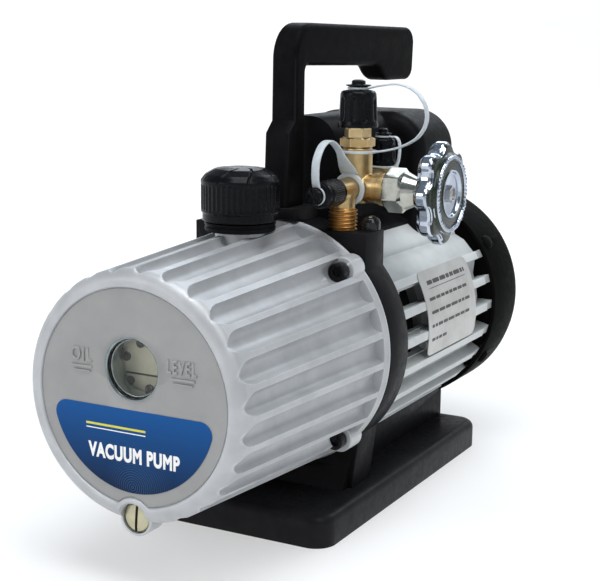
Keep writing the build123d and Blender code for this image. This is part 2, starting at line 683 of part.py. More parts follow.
def make_intake_manifold():
    x, z = MANIFOLD_X, MANIFOLD_Z
    body = threaded_z(8.1, 1.0, FLANGE_TOP_Z, 174.6, 1.9, x, NIPPLE_Y)
    body += along_z(6.4, 170, z + 1, x, NIPPLE_Y)
    body += along_y(8.4, COLUMN_Y - 8.6, REAR_PORT_Y + 8.4, x, z)
    body += along_z(8.5, z - 1, 207.0, x, COLUMN_Y)
    body += along_z(7.6, z - 1, REAR_CAP_Z - 0.4, x, REAR_PORT_Y)
    body += along_x(8.2, x - 1, VALVE_SEAT_X - 4.2, COLUMN_Y, z)
    body += along_x(9.2, VALVE_SEAT_X - 4.2, VALVE_SEAT_X, COLUMN_Y, z)
    body += along_y(NECK_R, FRONT_CAP_Y + 0.2, COLUMN_Y, x, z)
    body += along_y(6.0, FRONT_CAP_Y - 9, FRONT_CAP_Y + 1, x, z)
    body += along_z(5.7, REAR_CAP_Z - 2, REAR_CAP_Z + 8, x, REAR_PORT_Y)
    body -= along_y(3.0, FRONT_CAP_Y - 10, REAR_PORT_Y + 2, x, z)
    body -= along_z(4.5, FLANGE_TOP_Z - 1, z - 1.5, x, NIPPLE_Y)
    body -= along_z(4.4, z + 0.5, 208, x, COLUMN_Y)
    body -= along_z(2.9, z + 0.5, 204, x, REAR_PORT_Y)
    body -= along_x(3.5, x + 1.2, 45.2, COLUMN_Y, z)
    return body - along_x(6.1, 44.6, VALVE_SEAT_X + 1, COLUMN_Y, z)


def make_top_port_adapter():
    x, y = MANIFOLD_X, COLUMN_Y
    body = hexagon_z(17.2, 207.0, 212.6, x, y) + hexagon_z(13.4, 212.6, 218.0, x, y, 14)
    body += along_z(7.2, 218.0, 230.0, x, y)
    return body - along_z(4.4, 206, 231, x, y)


def make_top_cap():
    cap = ribbed_cap_z(11.4, 20.6, 18, 0.9, 0.7)
    cap -= Pos(0, 0, 6.3) * Cylinder(7.5, 13.4)
    return Pos(MANIFOLD_X, COLUMN_Y, CAP_BASE_Z) * cap


def make_front_cap():
    end = FRONT_CAP_LENGTH
    cap = turned([(0, 0), (7.6, 0), (7.6, end - 6.0), (6.9, end - 5.4), (6.9, end - 4.2), (7.3, end - 3.8),
                  (7.3, end - 1.8), (6.4, end - 0.5), (5.0, end), (0, end)])
    cap -= Pos(0, 0, 5.5) * Cylinder(6.3, 13.2)
    return Pos(MANIFOLD_X, FRONT_CAP_Y, MANIFOLD_Z) * Rot(90, 0, 0) * cap


def make_rear_cap():
    cap = ribbed_cap_z(7.8, 15.2, 14, 0.7, 0.3)
    cap -= Pos(0, 0, 5.2) * Cylinder(6.0, 12.0)
    return Pos(MANIFOLD_X, REAR_PORT_Y, REAR_CAP_Z) * cap


def snap_button(shade_r, knob_r):
    """Button whose shade holds the strap's eye against the cap's top."""
    return turned([(0, 0), (2.4, 0), (2.4, 1.8), (shade_r, 2.2), (shade_r, 2.8), (knob_r, 3.2),
                   (knob_r, 4.6), (knob_r - 1.0, 5.6), (0, 5.6)])


def strap(points, width, thickness, edge_axis, radii):
    """Flat band along a bent path; its width lies along edge_axis."""
    path = FilletPolyline(*points, radius=radii)
    start = Vector(*points[0])
    direction = (Vector(*points[1]) - start).normalized()
    frame = Plane(origin=start, x_dir=Vector(*edge_axis), z_dir=direction)
    return sweep(frame * Rectangle(width, thickness), path, is_frenet=False)


STRAP_T = 1.2


def make_top_strap():
    """Eye under the top cap's button, a loop out to the right, and an eye round the column."""
    x, y = MANIFOLD_X, COLUMN_Y
    top_z = CAP_BASE_Z + 20.6 + 0.3
    band = strap([(x + 5.5, y, top_z + 0.6), (x + 24, y, 244.6), (x + 37, y, 241.4), (x + 43.4, y, 228.0),
                  (x + 38, y, 213.0), (x + 24, y, 206.6), (x + 9.0, y, 204.6)],
                 4.6, STRAP_T, (0, 1, 0), (24, 14, 16, 16, 22))
    eye = along_z(6.2, top_z, top_z + STRAP_T, x, y) - along_z(2.7, 230, 250, x, y)
    collar = along_z(10.6, 203.4, 205.8, x, y) - along_z(8.55, 200, 208, x, y)
    return band + eye + collar


def make_front_strap():
    """Eye under the front cap's button, a loop over the cap, and an eye round the neck."""
    x, z = MANIFOLD_X, MANIFOLD_Z
    eye_y = FRONT_CAP_Y - FRONT_CAP_LENGTH - 0.3
    band = strap([(x, eye_y - 0.6, z + 4.0), (x, eye_y - 5.6, z + 15), (x, eye_y + 3.5, z + 26),
                  (x, eye_y + 15, z + 30.5), (x, eye_y + 28, z + 24), (x, -40.2, z + 8.6)],
                 4.6, STRAP_T, (1, 0, 0), (9, 9, 10, 14))
    eye = ring_y(4.6, 2.7, eye_y - STRAP_T, eye_y, x, z)
    collar = ring_y(9.2, NECK_R + 0.05, -40.8, -39.2, x, z)
    return band + eye + collar


def make_rear_strap():
    """Eye under the rear cap's button and a short band down its side to an eye below it."""
    x, y = MANIFOLD_X, REAR_PORT_Y
    top_z = REAR_CAP_Z + 15.2 + 0.3
    band = strap([(x + 3.6, y, top_z + 0.5), (x + 9.6, y, top_z + 0.8), (x + 10.6, y, 203),
                  (x + 8.4, y, REAR_CAP_Z - 1.2)],
                 3.6, 1.0, (0, 1, 0), (2.5, 12))
    eye = along_z(4.6, top_z, top_z + STRAP_T, x, y) - along_z(2.7, 205, 215, x, y)
    collar = along_z(9.2, REAR_CAP_Z - 1.8, REAR_CAP_Z - 0.6, x, y) - along_z(7.65, 190, 195, x, y)
    return band + eye + collar


def make_top_cap_button():
    return Pos(MANIFOLD_X, COLUMN_Y, CAP_BASE_Z + 20.6) * snap_button(7.2, 3.0)


def make_front_cap_button():
    front = FRONT_CAP_Y - FRONT_CAP_LENGTH
    return Pos(MANIFOLD_X, front, MANIFOLD_Z) * Rot(90, 0, 0) * snap_button(4.4, 3.4)


def make_rear_cap_button():
    return Pos(MANIFOLD_X, REAR_PORT_Y, REAR_CAP_Z + 15.2) * snap_button(5.0, 2.4)


def make_valve_bonnet():
    z = MANIFOLD_Z
    hexagon = RegularPolygon(10.9, 6, major_radius=False)
    nut = Rot(0, 90, 0) * extrude(hexagon, BONNET_STEP_X - VALVE_SEAT_X)
    nut = Pos(VALVE_SEAT_X, COLUMN_Y, z) * nut
    cone = [(0, BONNET_STEP_X), (10.4, BONNET_STEP_X), (8.6, 70), (6.8, 73.8), (5.6, 75.0), (0, 75.0)]
    nut += turned_x(cone, COLUMN_Y, z)
    nut += along_x(6.1, 46.0, VALVE_SEAT_X, COLUMN_Y, z)
    nut -= along_x(3.2 + RUNNING_CLEARANCE, 45, 76, COLUMN_Y, z)
    return nut - along_x(4.6, 45, 60, COLUMN_Y, z)


def make_valve_packing():
    packing = along_x(4.6, 56.5, 60.0, COLUMN_Y, MANIFOLD_Z)
    return packing - along_x(3.2 + RUNNING_CLEARANCE, 56, 61, COLUMN_Y, MANIFOLD_Z)


def make_valve_stem():
    stem = along_x(3.2, 53.2, 92.0, COLUMN_Y, MANIFOLD_Z)
    return stem + along_x(2.0, 48.8, 53.2, COLUMN_Y, MANIFOLD_Z)


def make_valve_disc():
    """Seat plug that the stem's thread drives in and out."""
    disc = along_x(4.2, 44.9, 51.0, COLUMN_Y, MANIFOLD_Z)
    return disc - along_x(2.0 + RUNNING_CLEARANCE, 46.5, 52.0, COLUMN_Y, MANIFOLD_Z)


def make_handwheel():
    points = []
    steps = 96
    for step in range(steps):
        angle = 2 * pi * step / steps
        radius = WHEEL_R - 2.0 + 2.0 * cos(WHEEL_LOBES * angle)
        points.append((radius * cos(angle), radius * sin(angle)))
    outline = make_face(Spline(*points, periodic=True))
    rim = extrude(outline, 10.0)
    front = turned([(0, 9.9), (22.5, 9.9), (20.2, 13.4), (0, 13.4)])
    hub = Pos(0, 0, -2.0) * turned([(0, 0), (7.0, 0), (8.5, 2.2), (0, 2.2)])
    wheel = rim + front + hub
    wheel -= turned([(0, 14), (12.4, 14), (12.4, 11.8), (10.6, 10.6), (0, 10.2)])
    wheel -= Pos(0, 0, -0.5) * (Cylinder(20, 9) - Cylinder(9.5, 12))
    wheel -= Cylinder(3.2, 40)
    return Pos(WHEEL_X, COLUMN_Y, MANIFOLD_Z) * Rot(0, 90, 0) * wheel


def make_wheel_nut():
    nut = extrude(RegularPolygon(4.4, 6, major_radius=False), 3.4)
    nut = Pos(WHEEL_X + 10.3, COLUMN_Y, MANIFOLD_Z) * Rot(0, 90, 0) * nut
    return nut - along_x(3.2, 80, 100, COLUMN_Y, MANIFOLD_Z)


# ---- Write every node --------------------------------------------------------------

NODES = {
    "base_plate": make_base(),
    "base_screws": make_base_screws(),
    "motor_pedestal": make_pedestal(),
    "oil_tank": make_oil_tank(),
    "tank_gasket": make_tank_gasket(),
    "tank_bolts": make_tank_bolts(),
    "front_decal": make_front_decal(),
    "sight_glass": make_sight_glass(),
    "sight_glass_ring": make_sight_glass_ring(),
    "sight_glass_seal": make_sight_glass_seal(),
    "drain_plug": make_drain_plug(),
    "drain_washer": make_drain_washer(),
    "oil_fill_neck": make_oil_fill_neck(),
    "oil_fill_cap": make_oil_fill_cap(),
    "oil_cap_seal": make_cap_seal(),
    "mid_flange": make_mid_flange(),
    "intake_screen": make_intake_screen(),
    "first_stage_cylinder": make_stage(FIRST_STAGE),
    "intermediate_plate": make_plate(FIRST_STAGE[0] - 6, FIRST_STAGE[0]),
    "second_stage_cylinder": make_stage(SECOND_STAGE),
    "pump_end_plate": make_plate(END_PLATE_Y, SECOND_STAGE[0]),
    "first_stage_rotor": make_pump_rotor(FIRST_STAGE),
    "second_stage_rotor": make_pump_rotor(SECOND_STAGE),
    "first_stage_vanes": make_vanes(FIRST_STAGE),
    "second_stage_vanes": make_vanes(SECOND_STAGE),
    "vane_springs": make_vane_springs(),
    "pump_bolts": make_pump_bolts() + make_oil_cover_screws(),
    "oil_splash_cover": make_oil_cover(),
    "exhaust_valve": make_exhaust_valve(),
    "shaft_seal": make_bearing(FLANGE_FRONT_Y, FLANGE_FRONT_Y + 8, 13.0),
    "front_bearing": make_bearing(FLANGE_REAR_Y - 12, FLANGE_REAR_Y - 1, 17.5),
    "rear_bearing": make_bearing(90, 101, 16.0),
    "motor_shaft": along_y(SHAFT_R, -142, 132),
    "rotor_core": ring_y(32.0, SHAFT_R, 2, 68),
    "stator_core": ring_y(MOTOR_BORE_R, 32.6, 2, 68),
    "stator_windings": ring_y(53, 36, -18, 2) + ring_y(53, 36, 68, 86),
    "rear_end_plate": make_rear_end_plate(),
    "cooling_fan": make_fan(),
    "motor_housing": make_motor_housing(),
    "rear_cover": make_rear_cover(),
    "cover_lugs": make_cover_lugs(),
    "cover_screws": make_cover_screws(),
    "rating_label": make_rating_label(),
    "capacitor_box": make_capacitor_box(),
    "run_capacitor": make_capacitor(),
    "switch_frame": make_switch_frame(),
    "power_rocker": make_power_rocker(),
    "power_inlet": make_power_inlet(),
    "carry_handle": make_handle(),
    "intake_manifold": make_intake_manifold(),
    "top_port_adapter": make_top_port_adapter(),
    "top_cap": make_top_cap() + make_top_cap_button(),
    "front_cap": make_front_cap() + make_front_cap_button(),
    "rear_cap": make_rear_cap() + make_rear_cap_button(),
    "cap_straps": make_top_strap() + make_front_strap() + make_rear_strap(),
    "valve_bonnet": make_valve_bonnet(),
    "valve_packing": make_valve_packing(),
    "valve_stem": make_valve_stem(),
    "valve_disc": make_valve_disc(),
    "handwheel": make_handwheel() + make_wheel_nut(),
}

for node, shape in NODES.items():
    save(node, shape)
print(len(NODES), "nodes")
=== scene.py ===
"""Looks for the two-stage vacuum pump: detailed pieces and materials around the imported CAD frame.

Lengths are in millimetres until a mesh is made; every Blender object is in metres. +Z is up
and the pump lies along Y, with the oil tank's face towards -Y.
"""

import json
from contextlib import contextmanager
from math import ceil, cos, hypot, pi, radians, sin, sqrt, tan

import bmesh
import bpy
import numpy as np
from mathutils import Matrix, Vector

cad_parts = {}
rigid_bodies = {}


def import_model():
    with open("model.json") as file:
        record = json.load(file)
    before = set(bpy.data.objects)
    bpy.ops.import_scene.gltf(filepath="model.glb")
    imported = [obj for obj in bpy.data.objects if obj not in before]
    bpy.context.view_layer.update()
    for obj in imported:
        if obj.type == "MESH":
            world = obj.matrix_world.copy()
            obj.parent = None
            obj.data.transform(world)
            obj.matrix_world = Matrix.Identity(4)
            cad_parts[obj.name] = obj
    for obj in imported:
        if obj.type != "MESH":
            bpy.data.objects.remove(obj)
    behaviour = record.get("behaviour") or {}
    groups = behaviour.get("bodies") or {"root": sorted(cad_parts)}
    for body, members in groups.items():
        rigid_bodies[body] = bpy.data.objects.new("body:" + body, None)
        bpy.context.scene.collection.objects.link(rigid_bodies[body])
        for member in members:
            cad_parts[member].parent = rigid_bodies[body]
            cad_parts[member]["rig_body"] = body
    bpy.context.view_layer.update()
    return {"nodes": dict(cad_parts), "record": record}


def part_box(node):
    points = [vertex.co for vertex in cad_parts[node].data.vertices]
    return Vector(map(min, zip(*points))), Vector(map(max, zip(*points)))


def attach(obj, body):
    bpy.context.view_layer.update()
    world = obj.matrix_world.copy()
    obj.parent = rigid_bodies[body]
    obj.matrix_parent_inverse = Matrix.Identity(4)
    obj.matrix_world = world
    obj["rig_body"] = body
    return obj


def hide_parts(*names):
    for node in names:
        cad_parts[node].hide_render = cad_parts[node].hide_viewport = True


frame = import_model()
MM = 0.001


def add_object(name, data):
    made = bpy.data.objects.new(name, data)
    bpy.context.scene.collection.objects.link(made)
    return made


# ---- Sizes read from the frame ----

def corners(node):
    """Lowest and highest corner of a CAD node, in millimetres."""
    low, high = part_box(node)
    return low / MM, high / MM


def centre(node):
    low, high = corners(node)
    return (low + high) / 2


AXIS_Z = centre("motor_shaft").z
RIM_Y = corners("oil_tank")[1].y          # the tank's joint with the flange
FACE_Y = corners("front_decal")[1].y      # the flat disc on the tank's front
GLASS = centre("sight_glass")
PLUG = centre("drain_plug")
OIL_CAP = centre("oil_fill_cap")
TOP_CAP = centre("top_cap")
REAR_CAP = centre("rear_cap")
VALVE = centre("valve_bonnet")
MANIFOLD_X = TOP_CAP.x
MANIFOLD_Z = VALVE.z
COLUMN_Y = VALVE.y
BUTTON = 5.6  # height of the snap button on a flare cap


# ---- Camera ----

CAMERA_PLACE = Vector((0.36247, -0.7073, 0.27067))
CAMERA_AZIMUTH = radians(28.24)
CAMERA_ELEVATION = radians(10.99)
CAMERA_ROLL = radians(0.58)
CAMERA_LENS = 80.24  # on a 36 mm sensor


def make_camera():
    data = bpy.data.cameras.new("camera")
    data.lens = CAMERA_LENS
    data.sensor_width = 36
    data.clip_start = 0.02
    data.clip_end = 50
    camera = add_object("camera", data)
    az, el, roll = CAMERA_AZIMUTH, CAMERA_ELEVATION, CAMERA_ROLL
    forward = Vector((-sin(az) * cos(el), cos(az) * cos(el), -sin(el)))
    level = Vector((cos(az), sin(az), 0))
    above = level.cross(forward)
    right = level * cos(roll) + above * sin(roll)
    up = above * cos(roll) - level * sin(roll)
    turn = Matrix((right, up, -forward)).transposed().to_4x4()
    camera.matrix_world = Matrix.Translation(CAMERA_PLACE) @ turn
    bpy.context.scene.camera = camera


make_camera()


# ---- Materials ----

def set_inputs(node, **values):
    """Sets inputs by name: a space in a name is written as an underscore, and a value may be
    another node's output."""
    for name, value in values.items():
        socket = node.inputs[name.replace("_", " ")]
        if isinstance(value, bpy.types.NodeSocket):
            node.id_data.links.new(value, socket)
        else:
            socket.default_value = value


def add_node(tree, kind, **values):
    made = tree.nodes.new(kind)
    set_inputs(made, **values)
    return made


def new_material(name):
    """A material with its tree and its surface."""
    material = bpy.data.materials.new(name)
    material.use_nodes = True
    return material, material.node_tree, material.node_tree.nodes["Principled BSDF"]


def object_place(tree):
    return tree.nodes.new("ShaderNodeTexCoord").outputs["Object"]


def noise(tree, scale, detail=3, stretch=(1, 1, 1)):
    """Noise in the object's metres; a scale of 1000 has features near a millimetre."""
    shape = add_node(tree, "ShaderNodeMapping", Scale=stretch, Vector=object_place(tree))
    return add_node(tree, "ShaderNodeTexNoise", Scale=scale, Detail=detail, Roughness=0.55,
        Vector=shape.outputs["Vector"]).outputs["Fac"]


def ramp(tree, source, low, high, start=0.35, end=0.65):
    """source between start and end, spread over low to high."""
    return add_node(tree, "ShaderNodeMapRange", From_Min=start, From_Max=end, To_Min=low,
        To_Max=high, Value=source).outputs["Result"]


def mix(tree, factor, first, second):
    """Colour mix; first and second are colours or sockets."""
    made = tree.nodes.new("ShaderNodeMix")
    made.data_type = "RGBA"
    tree.links.new(factor, made.inputs[0])
    for socket, value in ((made.inputs[6], first), (made.inputs[7], second)):
        if isinstance(value, tuple):
            socket.default_value = (*value, 1)
        else:
            tree.links.new(value, socket)
    return made.outputs[2]


def product(tree, first, second):
    made = tree.nodes.new("ShaderNodeMath")
    made.operation = "MULTIPLY"
    tree.links.new(first, made.inputs[0])
    tree.links.new(second, made.inputs[1])
    return made.outputs["Value"]


def grey(level):
    return level, level, level


def edge_wear_and_highlight(tree):
    """1 on convex edges and 0 elsewhere: where the edges show wear and a painted highlight."""
    shape = tree.nodes.new("ShaderNodeNewGeometry")
    return ramp(tree, shape.outputs["Pointiness"], 0, 1, 0.52, 0.62)


def patches(tree, first, second, scale, detail=3, stretch=(1, 1, 1)):
    """Colour that drifts between two tones."""
    return mix(tree, ramp(tree, noise(tree, scale, detail, stretch), 0, 1), first, second)


def finish(name, colour, second, patch, rough, grain, depth, metallic=0, specular=0.5, coat=0,
        stretch=(1, 1, 1), edge=None, transmission=0, subsurface=0):
    """A surface whose colour drifts between two tones over patches, with uneven gloss and a fine
    grain. patch and grain are noise scales, rough is (lowest, highest), depth is the grain's
    height in millimetres, and edge is an optional colour for convex edges: partly wear, and partly
    a painted highlight where the edges catch the light."""
    material, tree, surface = new_material(name)
    if subsurface:
        set_inputs(surface, Subsurface_Weight=subsurface, Subsurface_Radius=(1, 1, 1),
            Subsurface_Scale=0.002)
    tone = patches(tree, colour, second, patch, 4, stretch)
    if edge:
        tone = mix(tree, edge_wear_and_highlight(tree), tone, edge)
    gloss = ramp(tree, noise(tree, patch * 3.1, 3, stretch), *rough)
    bump = add_node(tree, "ShaderNodeBump", Strength=1, Distance=depth * MM,
        Height=noise(tree, grain, 2, stretch))
    set_inputs(surface, Base_Color=tone, Roughness=gloss, Normal=bump.outputs["Normal"],
        Metallic=metallic, Specular_IOR_Level=specular, Coat_Weight=coat, Coat_Roughness=0.12,
        Transmission_Weight=transmission)
    return material


# The edge colours lighten convex edges: partly wear, and partly a painted highlight where edges
# catch the light, strongest on the silver castings.
SILVER = finish("silver_paint", (0.425, 0.435, 0.447), (0.49, 0.5, 0.515), 60, (0.42, 0.52), 2600,
    0.012, metallic=0.38, edge=(0.74, 0.76, 0.78))
FACE_SILVER = finish("face_silver", (0.305, 0.303, 0.3), (0.335, 0.333, 0.33), 45, (0.5, 0.6), 3200,
    0.012, metallic=0.3)
MOTOR_SILVER = finish("motor_silver", (0.385, 0.405, 0.405), (0.455, 0.475, 0.475), 70, (0.5, 0.6),
    2200, 0.015, metallic=0.2, edge=(0.76, 0.78, 0.78))
BLACK_PAINT = finish("black_paint", (0.005, 0.005, 0.0055), (0.008, 0.008, 0.009), 80, (0.32, 0.44),
    1800, 0.02, specular=0.04, edge=(0.02, 0.02, 0.022))
BLACK_MOULDING = finish("black_moulding", (0.0045, 0.0045, 0.005), (0.007, 0.007, 0.008), 90,
    (0.36, 0.48), 2400, 0.018, specular=0.04, edge=(0.016, 0.016, 0.018))
GRIP = finish("handle_grip", (0.005, 0.005, 0.0055), (0.0075, 0.0075, 0.008), 110, (0.32, 0.44),
    3000, 0.02, specular=0.012, edge=(0.014, 0.014, 0.015))
# The rear cover's black; also the painted shade inside the motor's windows.
COVER_BLACK_AND_SHADE = finish("cover_black_and_painted_shade", (0.0032, 0.0034, 0.003), (0.0048, 0.005, 0.0045), 90,
    (0.4, 0.52), 2400, 0.018, specular=0.008, edge=grey(0.008))
BASE_BLACK = finish("base_black", (0.011, 0.011, 0.0125), (0.016, 0.016, 0.018), 90, (0.3, 0.42),
    2400, 0.018, specular=0.06, edge=(0.024, 0.024, 0.026))
CAP_BLACK = finish("cap_black", (0.003, 0.003, 0.004), (0.005, 0.0055, 0.007), 140, (0.2, 0.3),
    3000, 0.008, specular=0.11, edge=(0.026, 0.027, 0.032))
GLOSS_BLACK = finish("gloss_black", (0.006, 0.006, 0.0065), (0.01, 0.01, 0.011), 120, (0.12, 0.22),
    2500, 0.004, specular=0.35, coat=0.15)
RUBBER = finish("rubber", grey(0.008), grey(0.014), 150, (0.6, 0.75), 2600, 0.02, specular=0.2)
# Painted reflection: the plating's colour is darkened and tinted blue to stand in for dark and blue
# surroundings reflected in it.
CHROME_BLUE_REFLECTION = finish("chrome", (0.42, 0.47, 0.56), (0.56, 0.61, 0.69), 90, (0.08, 0.17), 900, 0.006,
    metallic=1)
NICKEL = finish("nickel", (0.36, 0.37, 0.34), (0.5, 0.5, 0.45), 110, (0.12, 0.2), 900, 0.006,
    metallic=1)
# The sight glass's bezel, and the painted shade of the bore behind the glass.
DARK_CHROME_AND_SHADE = finish("dark_chrome_and_painted_shade", (0.2, 0.24, 0.25), (0.3, 0.34, 0.35), 120, (0.14, 0.26), 900,
    0.006, metallic=1)
BRASS = finish("brass", (0.46, 0.32, 0.145), (0.56, 0.41, 0.2), 120, (0.3, 0.42), 1500, 0.004,
    metallic=1, edge=(0.72, 0.58, 0.36))
THREAD_BRASS = finish("thread_brass", (0.44, 0.23, 0.07), (0.56, 0.32, 0.11), 160, (0.32, 0.42),
    1500, 0.003, metallic=1, edge=(0.7, 0.46, 0.22))
ZINC = finish("yellow_zinc", (0.42, 0.4, 0.27), (0.52, 0.49, 0.34), 140, (0.26, 0.4), 1600, 0.006,
    metallic=1, edge=(0.66, 0.63, 0.48))
STEEL = finish("steel", grey(0.42), grey(0.52), 120, (0.28, 0.42), 1400, 0.01, metallic=1,
    stretch=(1, 0.1, 1))
IRON = finish("oiled_iron", (0.38, 0.37, 0.27), (0.47, 0.455, 0.35), 90, (0.36, 0.5), 900, 0.02,
    metallic=0.25)
COPPER = finish("copper_wire", (0.42, 0.16, 0.06), (0.6, 0.26, 0.1), 400, (0.3, 0.45), 1800, 0.1,
    metallic=0.9, stretch=(1, 0.15, 1))
# Dark oiled bolt heads; also painted shade in the drain plug's slot and on the splash cover.
BOLT_AND_SHADE = finish("oiled_bolt_and_painted_shade", (0.02, 0.014, 0.012), (0.035, 0.026, 0.021), 200, (0.3, 0.45), 1600,
    0.01, metallic=0.3)
BLACK_BOLT = finish("black_bolt", (0.004, 0.004, 0.005), (0.008, 0.008, 0.01), 300, (0.22, 0.34),
    2000, 0.006, specular=0.14, edge=(0.03, 0.03, 0.034))
FOIL = finish("rating_foil", (0.46, 0.455, 0.44), (0.54, 0.535, 0.52), 60, (0.34, 0.46), 2400,
    0.004, metallic=0.45)
INK = finish("grey_ink", grey(0.028), grey(0.05), 300, (0.4, 0.5), 2000, 0.003)
WHITE_INK = finish("white_ink", (0.86, 0.86, 0.85), (0.92, 0.92, 0.91), 200, (0.35, 0.45), 2000,
    0.003)
STRIPE_INK = finish("stripe_ink", (0.66, 0.6, 0.04), (0.74, 0.68, 0.06), 200, (0.35, 0.45), 2000,
    0.003)
STRAP = finish("strap", (0.6, 0.66, 0.7), (0.7, 0.75, 0.78), 220, (0.3, 0.42), 1600, 0.02,
    specular=0.45, subsurface=0.25, transmission=0.25)
WHEEL_DARK = finish("wheel_dark", (0.006, 0.012, 0.006), (0.014, 0.022, 0.012), 250, (0.2, 0.34),
    1500, 0.02, specular=0.4, coat=0.1)


def make_decal_material():
    """Printed film: mid blue at the top, navy below, with fine rings in its lower middle."""
    material, tree, surface = new_material("decal_film")
    place = object_place(tree)
    parts = add_node(tree, "ShaderNodeSeparateXYZ", Vector=place)
    low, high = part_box("front_decal")
    height = ramp(tree, parts.outputs["Z"], 0, 1, low.z, high.z)
    blue = mix(tree, height, (0.0025, 0.012, 0.04), (0.006, 0.082, 0.285))
    rings = add_node(tree, "ShaderNodeMapping", Location=(0, 0, -low.z - 0.003), Vector=place)
    wave = add_node(tree, "ShaderNodeTexWave", Scale=260, Distortion=0,
        Vector=rings.outputs["Vector"])
    wave.wave_type = "RINGS"
    wave.rings_direction = "Y"
    reach = tree.nodes.new("ShaderNodeVectorMath")
    reach.operation = "DISTANCE"
    tree.links.new(place, reach.inputs[0])
    reach.inputs[1].default_value = (0.004, low.y, low.z + 0.006)
    fade = ramp(tree, reach.outputs["Value"], 0.5, 0, 0.004, 0.02)
    lines = ramp(tree, wave.outputs["Fac"], 0, 1, 0.6, 0.9)
    tone = mix(tree, product(tree, fade, lines), blue, (0.05, 0.13, 0.3))
    gloss = ramp(tree, noise(tree, 150), 0.3, 0.4)
    set_inputs(surface, Base_Color=tone, Roughness=gloss, Specular_IOR_Level=0.12,
        Coat_Roughness=0.2)
    return material


def make_glass_material():
    """Almost clear, with a faint mirror for the reflections."""
    material, tree, surface = new_material("clear_glass")
    tint = patches(tree, (0.82, 0.88, 0.86), (0.9, 0.94, 0.92), 60)
    gloss = ramp(tree, noise(tree, 120), 0.02, 0.06)
    set_inputs(surface, Base_Color=tint, Roughness=gloss, Metallic=1, Alpha=0.018)
    return material


DECAL = make_decal_material()
GLASS_CLEAR = make_glass_material()

SLOT_MATERIALS = {
    "black_moulding": BLACK_MOULDING, "black_casting": BLACK_PAINT, "silver_casting": SILVER,
    "motor_casting": MOTOR_SILVER, "tank_bolt": BLACK_BOLT, "decal": DECAL, "rating_foil": FOIL,
    "clear_glass": GLASS_CLEAR, "chrome_trim": CHROME_BLUE_REFLECTION, "zinc_plug": ZINC, "brass_fitting": BRASS,
    "seal_rubber": RUBBER, "strap": STRAP, "cap_plastic": CAP_BLACK, "steel_parts": STEEL,
    "pump_iron": IRON, "copper_wire": COPPER, "dark_bolt": BOLT_AND_SHADE, "handle_grip": GRIP,
    "rocker": GLOSS_BLACK, "capacitor_can": GLOSS_BLACK}
NODE_SLOTS = {part["node"]: part["material_slot"] for part in frame["record"]["subparts"]}

for node_name, node_object in frame["nodes"].items():
    node_object.data.materials.clear()
    node_object.data.materials.append(SLOT_MATERIALS[NODE_SLOTS[node_name]])


# ---- Mesh tools ----

def dress(piece, *materials):
    for material in materials:
        piece.data.materials.append(material)


def place_piece(piece, node, material, replaces=True):
    """Rides on the node's body, and stands for the node if it replaces it, which hides the node.
    material goes to a piece that has none."""
    if not piece.data.materials:
        dress(piece, material)
    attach(piece, frame["nodes"][node]["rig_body"])
    if replaces:
        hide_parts(node)


@contextmanager
def edited(mesh):
    shaped = bmesh.new()
    shaped.from_mesh(mesh)
    yield shaped
    shaped.to_mesh(mesh)
    shaped.free()


def new_piece(name, points, faces, smooth_angle=35):
    """Mesh object from points in millimetres."""
    mesh = bpy.data.meshes.new(name)
    mesh.from_pydata([tuple(c * MM for c in point) for point in points], [], faces)
    mesh.validate()
    with edited(mesh) as shaped:
        bmesh.ops.recalc_face_normals(shaped, faces=shaped.faces)
    mesh.shade_smooth()
    mesh.set_sharp_from_angle(angle=radians(smooth_angle))
    return add_object(name, mesh)


def rounded(points, steps=4):
    """A profile with its corners rounded: each point is (a, b) or (a, b, radius)."""
    result = []
    for index, point in enumerate(points):
        here = Vector(point[:2])
        radius = point[2] if len(point) > 2 else 0
        if radius == 0 or index in (0, len(points) - 1):
            result.append(tuple(here))
            continue
        before = Vector(points[index - 1][:2]) - here
        after = Vector(points[index + 1][:2]) - here
        half = before.angle(after) / 2
        reach = min(radius / tan(half), before.length * 0.48, after.length * 0.48)
        radius = reach * tan(half)
        before.normalize()
        after.normalize()
        middle = here + (before + after).normalized() * (radius / sin(half))
        start = here + before * reach - middle
        end = here + after * reach - middle
        sweep = start.angle(end)
        for step in range(steps + 1):
            share = step / steps
            spread = (start * sin((1 - share) * sweep) + end * sin(share * sweep)) / sin(sweep)
            result.append(tuple(middle + spread))
    return result


X, Y, Z = Vector((1, 0, 0)), Vector((0, 1, 0)), Vector((0, 0, 1))
AXES = {"x": (Y, Z, X), "y": (Z, X, Y), "-y": (X, Z, -Y), "z": (X, Y, Z)}


def faces_between(rows):
    """Faces between rows of point numbers that go all round, with a triangle where two numbers
    are the same."""
    faces = []
    for low, high in zip(rows, rows[1:]):
        for quad in zip(low, low[1:] + low[:1], high[1:] + high[:1], high):
            face = list(dict.fromkeys(quad))
            if len(face) > 2:
                faces.append(face)
    return faces


def numbered(rows, columns):
    """Point numbers of a grid that was made row by row."""
    return [list(range(row * columns, (row + 1) * columns)) for row in range(rows)]


